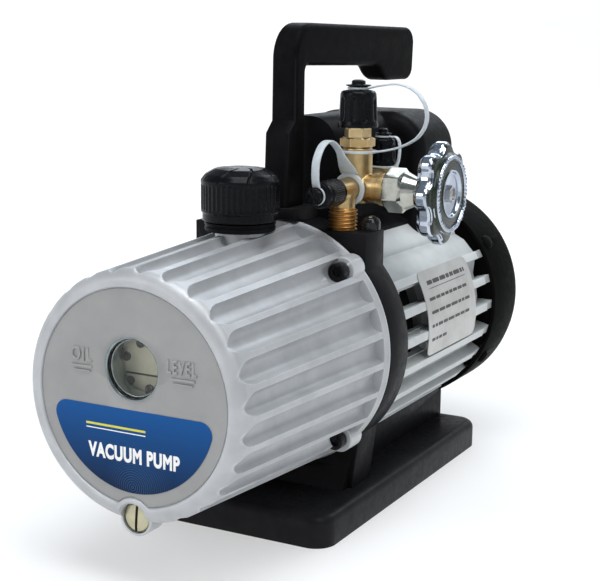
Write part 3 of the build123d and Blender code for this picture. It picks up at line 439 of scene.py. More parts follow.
def lathe(profile, origin, axis, columns=96, shape=None):
    """Points and faces of a turned solid. profile holds (radius, height) along the axis from
    origin, and shape(radius, height, angle) may move a point. A profile that starts on the axis
    has its far end capped, and one that starts off it makes a ring, closed from last to first."""
    across, upward, along = AXES[axis]
    is_ring = profile[0][0] > 0
    points, rows = [], []
    for radius, height in profile:
        if radius < 1e-6:
            points.append(Vector(origin) + along * height)
            rows.append([len(points) - 1] * columns)
            continue
        row = []
        for column in range(columns):
            angle = 2 * pi * column / columns
            reach, rise = (radius, height) if shape is None else shape(radius, height, angle)
            outward = across * cos(angle) + upward * sin(angle)
            points.append(Vector(origin) + outward * reach + along * rise)
            row.append(len(points) - 1)
        rows.append(row)
    faces = faces_between(rows + rows[:1] if is_ring else rows)
    if not is_ring and rows[-1][0] != rows[-1][1]:
        faces.append(list(rows[-1]))
    return points, faces


def turned(name, profile, origin, axis, columns=96, shape=None, smooth_angle=35):
    """A turned solid, as lathe makes it; corners of the profile that have a radius are rounded."""
    if any(len(point) > 2 for point in profile):
        profile = rounded(profile)
    points, faces = lathe(profile, origin, axis, columns, shape)
    return new_piece(name, points, faces, smooth_angle)


def join(name, pieces):
    """One object from several, keeping their materials."""
    bpy.ops.object.select_all(action="DESELECT")
    for piece in pieces:
        piece.select_set(True)
    bpy.context.view_layer.objects.active = pieces[0]
    bpy.ops.object.join()
    pieces[0].name = name
    pieces[0].data.name = name
    return pieces[0]


def apply_modifiers(piece):
    bpy.context.view_layer.update()
    graph = bpy.context.evaluated_depsgraph_get()
    mesh = bpy.data.meshes.new_from_object(piece.evaluated_get(graph))
    piece.modifiers.clear()
    piece.data = mesh


def cut(piece, cutter, operation="DIFFERENCE"):
    """Takes a closed cutter out of a closed piece, or adds it."""
    step = piece.modifiers.new("cut", "BOOLEAN")
    step.operation = operation
    step.solver = "EXACT"
    step.object = cutter
    apply_modifiers(piece)
    bpy.data.objects.remove(cutter)


EDGE_ANGLE = radians(32)  # a softened copy's edges are rounded above this angle


def soften_node(node, material, width):
    """Replaces a CAD node by a copy whose edges are rounded by width millimetres."""
    piece = add_object(node + "_finished", frame["nodes"][node].data.copy())
    with edited(piece.data) as shaped:
        bmesh.ops.remove_doubles(shaped, verts=shaped.verts, dist=1e-6)
        bmesh.ops.dissolve_limit(shaped, angle_limit=radians(0.6), verts=shaped.verts,
            edges=shaped.edges)
    piece.data.materials.clear()
    bevel = piece.modifiers.new("bevel", "BEVEL")
    bevel.width = width * MM
    bevel.segments = 2
    bevel.limit_method = "ANGLE"
    bevel.angle_limit = EDGE_ANGLE
    apply_modifiers(piece)
    piece.data.shade_smooth()
    piece.data.set_sharp_from_angle(angle=EDGE_ANGLE)
    place_piece(piece, node, material)


def smooth_step(value):
    value = max(0, min(1, value))
    return value * value * (3 - 2 * value)


# ---- Oil tank ----

FLUTES = 26
FLUTE_PITCH = 2 * pi / FLUTES
FLUTE_HALF = 6.2 / 65  # half a flute's width, as an angle
FLUTE_DEPTH = 5.6
FLUTE_START = 2.4  # from the face to the flutes' round ends
FLUTE_END = 12.5  # length of a flute's round end
FLUTE_PHASE = 0.25  # share of a pitch that the first flute lies above the horizontal
DISC_R = 54
RING_LIFT = 1.2  # how far the ring round the disc stands in front of it
PLUG_CLEAR_R = 11.2  # the disc's edge keeps this far from the drain plug's centre
EDGE_BLEND = 1.6
FACE_THICK = 6
TANK_FRONT_R = 62.6
TANK_REAR_R = 70
TAPER_START = 4.4
RIM_PLATE = 3.2
RIM_BAND = 5.4  # plain band between the flutes' ends and the rim
RIM_R = 71
EAR_R = 7.6
EAR_LENGTH = 13.1
EAR_CENTRE_R = 66.5
BOLT_SEAT = 128.4  # from the face to the seats of the bolt heads
BOLT_CLEARANCE = 5.5
EAR_ANGLES = [radians(45 + 90 * step) for step in range(4)]
NECK_HEIGHT = 15.8  # of the filler neck, over its boss


def tank_wall_radius(depth):
    """Radius of the tapered wall at a depth behind the face."""
    length = RIM_Y - RIM_PLATE - FACE_Y
    taper = (TANK_REAR_R - TANK_FRONT_R) * (depth - TAPER_START) / (length - TAPER_START)
    return TANK_FRONT_R + taper


def flute_sink(depth, angle):
    """How far a flute takes the wall in at this place."""
    offset = (angle / FLUTE_PITCH + 0.5 - FLUTE_PHASE) % 1 - 0.5
    across = abs(offset) * FLUTE_PITCH / FLUTE_HALF
    before = max(0, (FLUTE_START + FLUTE_END - depth) / FLUTE_END)
    distance = min(hypot(across, before), 1)
    return FLUTE_DEPTH * (1 - distance ** 3) ** 0.6


def flute_columns():
    """Angles round the tank, packed closer on the flutes' walls."""
    shares = [0, 0.2, 0.4, 0.55, 0.67, 0.76, 0.83, 0.89, 0.93, 0.96, 0.98, 0.992, 1, 1.05]
    half = [share * FLUTE_HALF for share in shares]
    angles = []
    for flute in range(FLUTES):
        middle = (flute + FLUTE_PHASE) * FLUTE_PITCH
        angles += [middle - value for value in reversed(half)]
        angles += [middle + value for value in half[1:]]
    return angles


def disc_edge(angle):
    """Radius of the disc's edge, which steps in round the drain plug."""
    below = AXIS_Z - PLUG.z
    turn = angle + pi / 2
    turn = (turn + pi) % (2 * pi) - pi
    if abs(below * sin(turn)) >= PLUG_CLEAR_R or cos(turn) < 0:
        return DISC_R
    dodge = below * cos(turn) - sqrt(PLUG_CLEAR_R ** 2 - (below * sin(turn)) ** 2)
    share = max(EDGE_BLEND - abs(DISC_R - dodge), 0) / EDGE_BLEND
    return min(DISC_R, dodge) - share * share * EDGE_BLEND / 4


def tank_rows():
    """Rows over the tank's outside, from the face's centre to the rim: each gives a function of
    the angle that returns (radius, depth behind the face)."""
    def plain(radius, depth):
        return lambda angle: (radius, depth)

    def fluted(radius, depth):
        return lambda angle: (radius - flute_sink(depth, angle), depth)

    rows = [lambda angle, s=share: (disc_edge(angle) * s, 0) for share in (0.3, 0.6, 0.85, 0.96)]
    edge = ((-0.55, 0), (-0.35, 0.45), (-0.05, 0.55), (0.12, 0.1), (0.25, -0.5), (0.7, -0.95),
        (1.6, -RING_LIFT))
    rows += [lambda angle, o=out, d=depth: (disc_edge(angle) + o, d) for out, depth in edge]
    ring = ((57, -RING_LIFT), (58.1, -0.85), (59.3, -0.2), (60.5, 0.7), (61.5, 1.7), (62.1, 2.7),
        (62.4, 3.5))
    rows += [fluted(radius, depth) for radius, depth in ring]
    rear = RIM_Y - FACE_Y
    depths = [4 + 0.5 * step for step in range(8)] + [8.5, 9.5, 11, 12.5, 14]
    depths += [16 + 6.5 * step for step in range(int((rear - 24) / 6.5))]
    depths += [rear - RIM_BAND - 1.6, rear - RIM_BAND - 0.7, rear - RIM_BAND - 0.2]
    rows += [fluted(tank_wall_radius(depth), depth) for depth in sorted(depths)]
    rim = ((TANK_REAR_R, rear - RIM_BAND), (RIM_R - 0.7, rear - 1.6), (RIM_R - 0.2, rear - 1),
        (RIM_R, rear - 0.6), (RIM_R, rear))
    inside = ((TANK_REAR_R - 10.5, rear), (56, 8), (54, FACE_THICK), (30, FACE_THICK))
    return rows + [plain(radius, depth) for radius, depth in rim + inside]


def make_tank():
    angles = flute_columns()
    points = [(0, FACE_Y, AXIS_Z)]
    rows = []
    for row in tank_rows():
        indexes = []
        for angle in angles:
            radius, depth = row(angle)
            indexes.append(len(points))
            points.append((radius * cos(angle), FACE_Y + depth, AXIS_Z + radius * sin(angle)))
        rows.append(indexes)
    points.append((0, FACE_Y + FACE_THICK, AXIS_Z))
    faces = []
    for column in range(len(angles)):
        after = (column + 1) % len(angles)
        faces.append((0, rows[0][column], rows[0][after]))
        faces.append((len(points) - 1, rows[-1][after], rows[-1][column]))
        for low, high in zip(rows, rows[1:]):
            faces.append((low[column], high[column], high[after], low[after]))
    tank = new_piece("oil_tank_casting", points, faces, 50)
    ears, pockets = [], []
    ear = rounded([(0, 0), (EAR_R, 0, 0.6), (EAR_R, EAR_LENGTH), (0, EAR_LENGTH)])
    bolt_pocket = rounded([(0, -13), (BOLT_CLEARANCE, -13, 1.5), (BOLT_CLEARANCE, 0), (0, 0)])
    for angle in EAR_ANGLES:
        place = (EAR_CENTRE_R * cos(angle), FACE_Y + BOLT_SEAT, AXIS_Z + EAR_CENTRE_R * sin(angle))
        ears.append(turned("ear", ear, place, "y", 56))
        pockets.append(turned("pocket", bolt_pocket, place, "y", 48))
    cut(tank, join("ears", ears), "UNION")
    cut(tank, join("pockets", pockets))
    glass_seat = [(0, -4), (16.4, -4), (15.75, 0.1), (15.6, 0.4), (15.6, 3.4), (14, 3.4), (14, 9),
        (0, 9)]
    cut(tank, turned("glass_cutter", glass_seat, (0, FACE_Y, GLASS.z), "y", 72))
    plug_seat = [(0, -6), (8.6, -6), (8.6, -0.6), (7.9, 0.2), (7.9, 6.2), (0, 6.2)]
    cut(tank, turned("plug_cutter", plug_seat, (0, FACE_Y, PLUG.z), "y", 64))
    dress(tank, SILVER, FACE_SILVER)
    for face in tank.data.polygons:
        x, y, z = face.center / MM
        on_disc = hypot(x, z - AXIS_Z) < DISC_R + 0.1 and abs(y - FACE_Y) < 0.1
        face.material_index = int(on_disc)
    return tank


def make_tank_bosses():
    """Filler boss with a flared foot, and the boss that the drain plug screws into."""
    boss_top = corners("oil_fill_neck")[1].z - NECK_HEIGHT
    filler = turned("filler_boss", [(11.6, boss_top - 20), (15.6, boss_top - 20),
        (13.6, boss_top - 6, 3), (13.3, boss_top, 0.5), (11.6, boss_top)],
        (OIL_CAP.x, OIL_CAP.y, 0), "z", 96)
    drain = turned("drain_boss", [(7.9, 2.2), (9.2, 2.2, 0.9), (9.2, 14, 2), (6, 17), (5.1, 17),
        (5.1, 6.2), (7.9, 6.2)], (0, FACE_Y, PLUG.z), "y", 72)
    for piece in (filler, drain):
        dress(piece, SILVER)
    return [filler, drain]


tank = join("oil_tank_casting", [make_tank()] + make_tank_bosses())
place_piece(tank, "oil_tank", SILVER)


# ---- Tank face ----

def lettering(name, text, low, high, front_y, thickness, bold, spacing=1):
    """Plain letters on a face that looks towards -Y, filling x and z from low to high. bold is the
    share of the letters' size by which their outline grows."""
    curve = bpy.data.curves.new(name, "FONT")
    curve.body = text
    curve.size = 10
    curve.bevel_depth = bold
    curve.bevel_resolution = 1
    curve.space_character = spacing
    shape = add_object(name, curve)
    bpy.context.view_layer.update()
    graph = bpy.context.evaluated_depsgraph_get()
    flat = bpy.data.meshes.new_from_object(shape.evaluated_get(graph))
    bpy.data.objects.remove(shape)
    with edited(flat) as shaped:
        bmesh.ops.remove_doubles(shaped, verts=shaped.verts, dist=1e-4)
        xs = [v.co.x for v in shaped.verts]
        ys = [v.co.y for v in shaped.verts]
        scale_x = (high[0] - low[0]) / (max(xs) - min(xs))
        scale_z = (high[1] - low[1]) / (max(ys) - min(ys))
        for v in shaped.verts:
            x = low[0] + (v.co.x - min(xs)) * scale_x
            z = low[1] + (v.co.y - min(ys)) * scale_z
            y = front_y + thickness * (0.5 - v.co.z / (2 * bold))
            v.co = Vector((x, y, z)) * MM
        bmesh.ops.recalc_face_normals(shaped, faces=shaped.faces)
    return add_object(name, flat)


def soft_bar(name, x0, x1, z0, z1, front_y, thickness, round_r=0.3):
    """A raised bar with rounded ends on a face that looks towards -Y."""
    radius = min(round_r, (z1 - z0) / 2 - 0.01, (x1 - x0) / 2 - 0.01)
    outline = []
    for cx, cz, start in ((x1 - radius, z1 - radius, 0), (x0 + radius, z1 - radius, 90),
            (x0 + radius, z0 + radius, 180), (x1 - radius, z0 + radius, 270)):
        for step in range(5):
            angle = radians(start + 22.5 * step)
            outline.append((cx + radius * cos(angle), cz + radius * sin(angle)))
    mid_x, mid_z = (x0 + x1) / 2, (z0 + z1) / 2
    points = [(x, front_y + thickness, z) for x, z in outline]
    points += [(x, front_y + thickness * 0.25, z) for x, z in outline]
    points += [(mid_x + (x - mid_x) * 0.97, front_y, mid_z + (z - mid_z) * 0.9) for x, z in outline]
    rows = numbered(3, len(outline))
    return new_piece(name, points, [rows[0], rows[-1]] + faces_between(rows))


def make_embossing():
    """Raised level words beside the glass, each over two bars."""
    height = 0.8
    front = FACE_Y - height
    deep = 2 * height
    parts = [
        lettering("word_left", "OIL", (-35.2, 112.4), (-22.8, 119.6), front, deep, 0.34, 1.15),
        lettering("word_right", "LEVEL", (20.6, 112.4), (37.2, 119.4), front, deep, 0.34, 1.25)]
    for x0, x1, z in ((-35, -22.8, 109.4), (22.6, 36.2, 109.6)):
        parts.append(soft_bar("level_bar", x0, x1, z, z + 1.2, front, height + 0.1))
        parts.append(soft_bar("level_bar_low", x0 + 1.6, x1 - 1, z - 1.9, z - 1.1, front,
                              height + 0.1))
    for part in parts:
        dress(part, FACE_SILVER)
    words = join("level_words", parts)
    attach(words, "pump_body")


def make_decal_print():
    """Generic words and two stripes on the film."""
    film_y = corners("front_decal")[0].y
    letters = lettering("decal_letters", "VACUUM PUMP", (-26, 65), (27.5, 72.8), film_y - 0.08,
        0.14, 0.5, 1.1)
    stripes = [soft_bar("stripe_wide", -27, 8, 81.4, 82.5, film_y - 0.05, 0.06),
        soft_bar("stripe_thin", -27, 8, 79.6, 80.1, film_y - 0.05, 0.06)]
    for piece, material in zip([letters, *stripes], (WHITE_INK, STRIPE_INK, WHITE_INK)):
        dress(piece, material)
        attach(piece, "pump_body")


def make_sight_glass():
    """Domed glass in a chamfered bright ring over a rubber seat."""
    origin = (0, FACE_Y, GLASS.z)
    glass = turned("sight_glass_lens", [(0, 1.7), (8, 1.75), (13.6, 1.95, 0.3), (14.95, 2.3, 0.3),
        (14.95, 3.2, 0.2), (0, 3.2)], origin, "y", 96)
    place_piece(glass, "sight_glass", GLASS_CLEAR)
    ring = turned("sight_glass_bezel", [(15.58, 0.35, 0.15), (15.58, 3.2), (15.1, 3.2),
        (15.08, 1.75), (14.5, 1.6, 0.1), (14.6, 0.8, 0.2), (15.1, 0.35, 0.15), (15.4, 0.3, 0.1),
        (15.58, 0.35)], origin, "y", 96)
    place_piece(ring, "sight_glass_ring", DARK_CHROME_AND_SHADE)
    seal = turned("sight_glass_gasket", [(14.95, 3.2), (14.15, 3.2), (14.1, 3.4), (14.95, 3.4)],
        origin, "y", 72)
    place_piece(seal, "sight_glass_seal", RUBBER)
    # Painted shade: a dark tube lining the bore behind the glass, where its wall lies in shadow.
    bore_shade_sleeve = turned("sight_bore_painted_shade", [(13.96, 3.5), (13.7, 3.6), (13.5, 6), (13.7, 12.2),
        (13.96, 12.3)], origin, "y", 72)
    place_piece(bore_shade_sleeve, "sight_glass_ring", DARK_CHROME_AND_SHADE, replaces=False)
    cover = corners("oil_splash_cover")[0].y
    # Painted shade: a thin dark bar across the splash cover where a groove lies in shadow.
    groove_shade = soft_bar("cover_groove_painted_shade", -13, 16, AXIS_Z + 8.1, AXIS_Z + 9.1, cover - 0.06, 0.1)
    place_piece(groove_shade, "oil_splash_cover", BOLT_AND_SHADE, replaces=False)


DRAIN_HEAD_R = 7.6
DRAIN_PITCH = 1.2
SLOT_TURN = radians(4)


def make_drain_plug():
    """Slotted plug with a chamfered, slightly domed head and a threaded shank."""
    def thread(radius, height, angle):
        if radius < 4.2 or height < 6.4 or radius > 5.2:
            return radius, height
        ridge = abs(((height / DRAIN_PITCH - angle / (2 * pi)) % 1) * 2 - 1)
        return radius - 0.45 * ridge, height

    shank = [(5, 6.2 + 0.3 * step) for step in range(32)]
    profile = rounded([(0, 2.5), (4.5, 2.62), (6.7, 2.95, 0.5), (DRAIN_HEAD_R, 3.6, 0.3),
        (DRAIN_HEAD_R, 5.2, 0.2), (5, 5.2)]) + shank + [(3.6, 16), (0, 16)]
    plug = turned("drain_plug_slotted", profile, (0, FACE_Y, PLUG.z), "y", 96, thread)
    slot = bpy.data.meshes.new("slot_cutter")
    with edited(slot) as box:
        bmesh.ops.create_cube(box, size=1)
        bmesh.ops.scale(box, vec=Vector((1.5, 3.2, 20)) * MM, verts=box.verts)
        bmesh.ops.rotate(box, cent=(0, 0, 0), matrix=Matrix.Rotation(SLOT_TURN, 3, "Y"),
            verts=box.verts)
        bmesh.ops.translate(box, vec=Vector((0, FACE_Y + 2.6, PLUG.z)) * MM, verts=box.verts)
    cut(plug, add_object("slot_cutter", slot))
    plug.data.set_sharp_from_angle(angle=radians(35))
    dress(plug, ZINC, BOLT_AND_SHADE)
    # Painted shade: the deeper walls and floor of the slot take the dark bolt colour, as if in
    # shadow.
    for face in plug.data.polygons:
        x, y, z = face.center / MM
        inside = abs(x * cos(SLOT_TURN) - (z - PLUG.z) * sin(SLOT_TURN)) < 0.8
        face.material_index = int(inside and FACE_Y + 3 < y < FACE_Y + 4.4)
    place_piece(plug, "drain_plug", ZINC)


make_embossing()
make_decal_print()
make_sight_glass()
make_drain_plug()


# ---- Caps and straps ----

def refined(profile, step):
    """A profile with extra points, so that no stretch is longer than step."""
    result = [profile[0]]
    for a, b in zip(profile, profile[1:]):
        count = max(1, ceil(hypot(b[0] - a[0], b[1] - a[1]) / step))
        for index in range(1, count + 1):
            share = index / count
            result.append((a[0] + (b[0] - a[0]) * share, a[1] + (b[1] - a[1]) * share))
    return result


def make_oil_cap():
    """Breather cap: fine grip ribs, a rounded crown and eight swept vents. Under it is the neck."""
    low, high = corners("oil_fill_cap")
    base, top, ribs, vents = low.z, high.z, 44, 8

    def shape(radius, height, angle):
        if radius > 19.6 and base + 5.6 < height < top - 8.2:
            fade = smooth_step(min(height - base - 5.6, top - 8.2 - height) / 1.2)
            radius -= 0.42 * fade * (0.5 + 0.5 * cos(ribs * angle)) ** 0.7
        elif 8 < radius and height > top - 7:
            swept = angle + 0.035 * (radius - 8)
            offset = ((swept * vents / (2 * pi)) % 1 - 0.5) * 2 * pi / vents * radius
            deep = smooth_step((0.62 - abs(offset)) / 0.34) * smooth_step((radius - 8) / 1.2)
            radius -= 0.5 * deep
            height -= 0.75 * deep
        return radius, height

    outside = rounded([(0, top - 0.1), (7.6, top, 2), (13.6, top - 0.7, 5), (18.8, top - 3.6, 4),
        (21, top - 6.6, 1.2), (21, base + 5, 0.5), (20.2, base + 4.2, 0.4), (20.2, base + 0.2, 0.4),
        (19.6, base, 0.2), (12.9, base), (12.9, base + 14), (0, base + 14)])
    cap = turned("oil_cap_ribbed", refined(outside, 0.55), (OIL_CAP.x, OIL_CAP.y, 0), "z", 416,
        shape, smooth_angle=60)
    place_piece(cap, "oil_fill_cap", CAP_BLACK)
    neck_low, neck_high = corners("oil_fill_neck")
    foot = neck_high.z - NECK_HEIGHT
    collar = turned("oil_neck_collar", [(9, neck_low.z), (11.5, neck_low.z), (11.5, foot),
        (18.4, foot, 0.5), (19, foot + 0.7, 0.4), (19, foot + 2.2, 0.3), (18.5, foot + 2.5, 0.15),
        (18.5, foot + 3, 0.15), (19, foot + 3.3, 0.3), (19, foot + 4.8, 0.4), (12.5, foot + 5),
        (12.5, neck_high.z), (9, neck_high.z)], (OIL_CAP.x, OIL_CAP.y, 0), "z", 128)
    place_piece(collar, "oil_fill_neck", BLACK_MOULDING)


def button_piece(name, origin, axis, shade_r, knob_r, petals=0):
    """Snap button: a stem, a thin dished shade and a small head, which may be dimpled."""
    def shape(radius, height, angle):
        if petals and 1.2 < radius < shade_r and height > 3:
            ring = max(0, 1 - abs(radius - shade_r * 0.55) / (shade_r * 0.42))
            height -= 0.7 * ring * (0.5 + 0.5 * cos(petals * angle))
        return radius, height
    profile = rounded([(0, 0), (2.4, 0), (2.4, 1.8, 0.2), (shade_r * 0.75, 1.7, 0.3),
        (shade_r, 2.4, 0.15), (shade_r, 2.8, 0.15), (knob_r + 0.45, 2.9, 0.3), (knob_r, 3.3, 0.2),
        (knob_r, 4.9, 0.5), (knob_r * 0.6, 5.6, 0.3), (0, 5.5)])
    return turned(name, refined(profile, 0.4), origin, axis, 96, shape, smooth_angle=60)


def upright_cap(node, name, grooves, groove_depth):
    """Moulded screw cap with soft finger grooves, a flared lip and a rounded crown."""
    low, high = corners(node)
    radius = (high.x - low.x) / 2
    body = high.z - low.z - BUTTON
    origin = ((low.x + high.x) / 2, (low.y + high.y) / 2, low.z)

    def shape(r, h, angle):
        foot, head = radius * 0.24, body * 0.84
        if r > radius * 0.7 and foot < h < head:
            fade = smooth_step(min(h - foot, head - h) / (radius * 0.25))
            r -= groove_depth * fade * (0.5 + 0.5 * cos(grooves * angle)) ** 3
        return r, h

    crown = radius * 0.26
    profile = rounded([(0, body), (radius * 0.55, body, 0.5), (radius * 0.87, body - crown * 0.25,
        crown * 0.8), (radius * 0.9, body - crown * 1.4, 1), (radius * 0.955, radius * 0.3, 0.6),
        (radius, radius * 0.12, 0.3), (radius, 0, 0.25), (radius * 0.66, 0),
        (radius * 0.66, body * 0.62), (0, body * 0.62)], 5)
    cap = turned(name, refined(profile, 0.6), origin, "z", 180, shape, smooth_angle=60)
    shade, knob = (7.2, 3.9) if radius > 10 else (5, 2.8)
    top = (origin[0], origin[1], low.z + body)
    piece = join(name, [cap, button_piece(name + "_button", top, "z", shade, knob)])
    place_piece(piece, node, CAP_BLACK)


def make_front_cap():
    """Finely ribbed cap that lies along Y, with a dimpled button."""
    low, high = corners("front_cap")
    end = high.y - low.y - BUTTON
    origin = (MANIFOLD_X, high.y, MANIFOLD_Z)

    def shape(radius, height, angle):
        if radius > 7 and 1.6 < height < end - 7:
            radius -= 0.22 * (0.5 + 0.5 * cos(44 * angle))
        return radius, height

    profile = rounded([(0, end), (5, end, 0.3), (6.6, end - 0.8, 0.6), (7.25, end - 2.4, 0.4),
        (7.25, end - 3.6, 0.3), (6.7, end - 4.4, 0.2), (6.7, end - 5.2, 0.2), (7.6, end - 6.2, 0.4),
        (7.6, 0, 0.5), (6.3, 0), (6.3, 12), (0, 12)])
    cap = turned("front_cap_moulded", refined(profile, 0.5), origin, "-y", 176, shape,
        smooth_angle=60)
    top = (MANIFOLD_X, high.y - end, MANIFOLD_Z)
    button = button_piece("front_cap_button", top, "-y", 4.9, 4.3, petals=6)
    place_piece(join("front_cap_moulded", [cap, button]), "front_cap", CAP_BLACK)


def smooth_path(points):
    """Points along a curve that runs through the given ones."""
    steps = 14
    ends = [points[0] * 2 - points[1]] + points + [points[-1] * 2 - points[-2]]
    path = []
    for before, a, b, after in zip(ends, ends[1:], ends[2:], ends[3:]):
        for step in range(steps):
            t = step / steps
            bend = (2 * before - 5 * a + 4 * b - after) * t * t
            twist = (3 * a - before - 3 * b + after) * t ** 3
            path.append(0.5 * (2 * a + (b - before) * t + bend + twist))
    return path + [points[-1]]


def band(name, points, width, thickness, side, foot_width=None):
    """A flat moulded band through the points; its width lies along side, and it may widen to
    foot_width at its last end."""
    path = smooth_path([Vector(point) for point in points])
    side = Vector(side)
    count = len(path)
    vertices = []
    section = 12
    for index, place in enumerate(path):
        ahead = path[min(index + 1, count - 1)] - path[max(index - 1, 0)]
        across = (side - ahead * (side.dot(ahead) / ahead.length_squared)).normalized()
        outward = ahead.normalized().cross(across)
        share = index / (count - 1)
        half = width / 2
        if foot_width:
            half += (foot_width - width) / 2 * smooth_step((share - 0.74) / 0.26)
        for corner in range(section):
            angle = 2 * pi * corner / section
            flat_x = abs(cos(angle)) ** 0.35 * (1 if cos(angle) > 0 else -1)
            flat_y = abs(sin(angle)) ** 0.6 * (1 if sin(angle) > 0 else -1)
            vertices.append(place + across * flat_x * half + outward * flat_y * thickness / 2)
    rows = numbered(count, section)
    faces = faces_between(rows) + [rows[0], rows[-1]]
    return new_piece(name, vertices, faces, 60)


def eye(name, origin, axis, inner, outer, thickness):
    """Flat ring at a band's end."""
    profile = rounded([(inner, 0.1), (outer, 0, 0.3), (outer, thickness, 0.3),
        (inner, thickness, 0.3), (inner, 0, 0.3), (inner + 0.1, 0)])
    return turned(name, profile, origin, axis, 72)


def make_straps():
    """Three tether bands, each from an eye under its cap's button to an eye round the fitting."""
    x, y, z = MANIFOLD_X, COLUMN_Y, MANIFOLD_Z
    top = corners("top_cap")[1].z - BUTTON + 0.3
    front = corners("front_cap")[0].y + BUTTON - 0.3
    rear_low, rear_high = corners("rear_cap")
    rear_top = rear_high.z - BUTTON + 0.3
    rear_y = REAR_CAP.y
    parts = [
        eye("strap_eye", (x, y, top), "z", 2.7, 6.2, 1.2),
        band("strap_band", [
            (x + 5.4, y, top + 0.6), (x + 14, y, top + 2.4), (x + 24.5, y, 242.4),
            (x + 34, y, 239.2), (x + 40.4, y, 231.5), (x + 41.2, y, 222), (x + 36, y, 213.6),
            (x + 26.5, y, 208.4), (x + 17, y, 205.8), (x + 9.6, y, 204.7)],
            4.6, 1.2, (0, 1, 0), 6.4),
        eye("strap_collar", (x, y, 203.9), "z", 8.6, 10.9, 1.5),
        eye("strap_eye_front", (x, front, z), "-y", 2.7, 5, 1.2),
        band("strap_band_front", [
            (x, front - 0.6, z + 3.6), (x, front - 2.4, z + 10), (x, front - 1.4, z + 19),
            (x, front + 5, z + 26.4), (x, front + 14, z + 28.2), (x, front + 23.5, z + 23.6),
            (x, front + 31, z + 16), (x, -40.1, z + 8.9)], 4.6, 1.2, (1, 0, 0), 11),
        eye("strap_collar_front", (x, -39.3, z), "-y", 6.6, 9.3, 1.5),
        eye("strap_eye_rear", (x, rear_y, rear_top), "z", 2.7, 4.8, 1.1),
        band("strap_band_rear", [
            (x + 4.2, rear_y, rear_top + 0.5), (x + 8.6, rear_y, rear_top + 0.1),
            (x + 10.6, rear_y, rear_top - 4), (x + 10.2, rear_y, rear_low.z + 3.5),
            (x + 8.9, rear_y, rear_low.z - 1.1)], 3.4, 1, (0, 1, 0)),
        eye("strap_collar_rear", (x, rear_y, rear_low.z - 1.8), "z", 7.7, 9.3, 1.2)]
    place_piece(join("tether_straps", parts), "cap_straps", STRAP)


make_oil_cap()
upright_cap("top_cap", "top_cap_moulded", 9, 1)
upright_cap("rear_cap", "rear_cap_moulded", 9, 0.7)
make_front_cap()
make_straps()


# ---- Brass manifold and valve ----

def hexagonal(across_flats, turn=0):
    """Shape that flattens a turned profile to a hexagon where it is wider than the flats."""
    def shape(radius, height, angle):
        offset = (angle + turn + pi / 6) % (pi / 3) - pi / 6
        return min(radius, across_flats / 2 / cos(offset)), height
    return shape


def rod(name, radius, start, end, origin, axis, columns):
    profile = [(0, start), (radius, start), (radius, end), (0, end)]
    return turned(name, profile, origin, axis, columns)


NIPPLE_Y = centre("intake_screen").y
NIPPLE_TOP = 174.6
THREAD_PITCH = 2.1
THREAD_STEP = 0.15


def make_manifold():
    """Forged tee with soft fillets, a threaded nipple below and a turned collar for the valve."""
    x, z = MANIFOLD_X, MANIFOLD_Z
    low = corners("intake_manifold")[0]
    rear_y = REAR_CAP.y
    neck_end = corners("front_cap")[1].y + 0.3
    rear_top = corners("rear_cap")[0].z - 0.5
    parts = [
        rod("stub", 6.6, 171, z, (x, NIPPLE_Y, 0), "z", 48),
        turned("bar", [
            (0, COLUMN_Y - 9), (8, COLUMN_Y - 9, 2), (8.4, COLUMN_Y, 3), (8.4, rear_y + 8.2, 2.5),
            (0, rear_y + 8.2)], (x, 0, z), "y", 64),
        turned("column", [
            (0, z - 8.6), (7.8, z - 8.6, 2.5), (8.7, z, 2), (8.5, 206.9, 0.6), (0, 206.9)],
            (x, COLUMN_Y, 0), "z", 64),
        rod("rear_port", 7.6, z, rear_top, (x, rear_y, 0), "z", 56),
        rod("side_port", 8.2, x, 47.5, (0, COLUMN_Y, z), "x", 56),
        rod("neck", 6.5, neck_end, COLUMN_Y, (x, 0, z), "y", 56)]
    body = join("manifold_forging", parts)
    remesh = body.modifiers.new("fuse", "REMESH")
    remesh.mode = "VOXEL"
    remesh.voxel_size = 0.42 * MM
    soften = body.modifiers.new("soften", "SMOOTH")
    soften.factor = 0.6
    soften.iterations = 7
    apply_modifiers(body)
    body.data.shade_smooth()
    body.data.materials.clear()
    dress(body, BRASS)

    def thread(radius, height, angle):
        if radius < 6.6:
            return radius, height
        share = ((height / THREAD_PITCH - angle / (2 * pi)) % 1) * 2 - 1
        return radius - 0.95 * smooth_step(abs(share) * 1.2 - 0.1), height

    count = int((NIPPLE_TOP - 0.2 - low.z) / THREAD_STEP)
    rows = [(0, low.z), (7.2, low.z)]
    rows += [(8.1, low.z + THREAD_STEP * step) for step in range(1, count)]
    rows += [(7.4, NIPPLE_TOP), (6.4, NIPPLE_TOP + 0.6), (0, NIPPLE_TOP + 0.6)]
    nipple = turned("nipple", rows, (x, NIPPLE_Y, 0), "z", 96, thread, smooth_angle=80)
    dress(nipple, THREAD_BRASS)
    collar = turned("collar", [(0, 46.5), (8.3, 46.5), (8.3, 49.6), (9.3, 49.9, 0.3),
        (9.3, 53.8, 0.4), (8.8, 54.1), (0, 54.1)], (0, COLUMN_Y, z), "x", 96)
    shoulder = turned("shoulder", [(0, neck_end - 0.1), (6.9, neck_end - 0.1, 0.3),
        (6.9, neck_end + 2.2, 0.4), (6.3, neck_end + 2.8), (0, neck_end + 2.8)], (x, 0, z), "y", 72)
    for piece in (collar, shoulder):
        dress(piece, BRASS)
    place_piece(join("manifold_forging", [body, nipple, collar, shoulder]), "intake_manifold",
        BRASS)


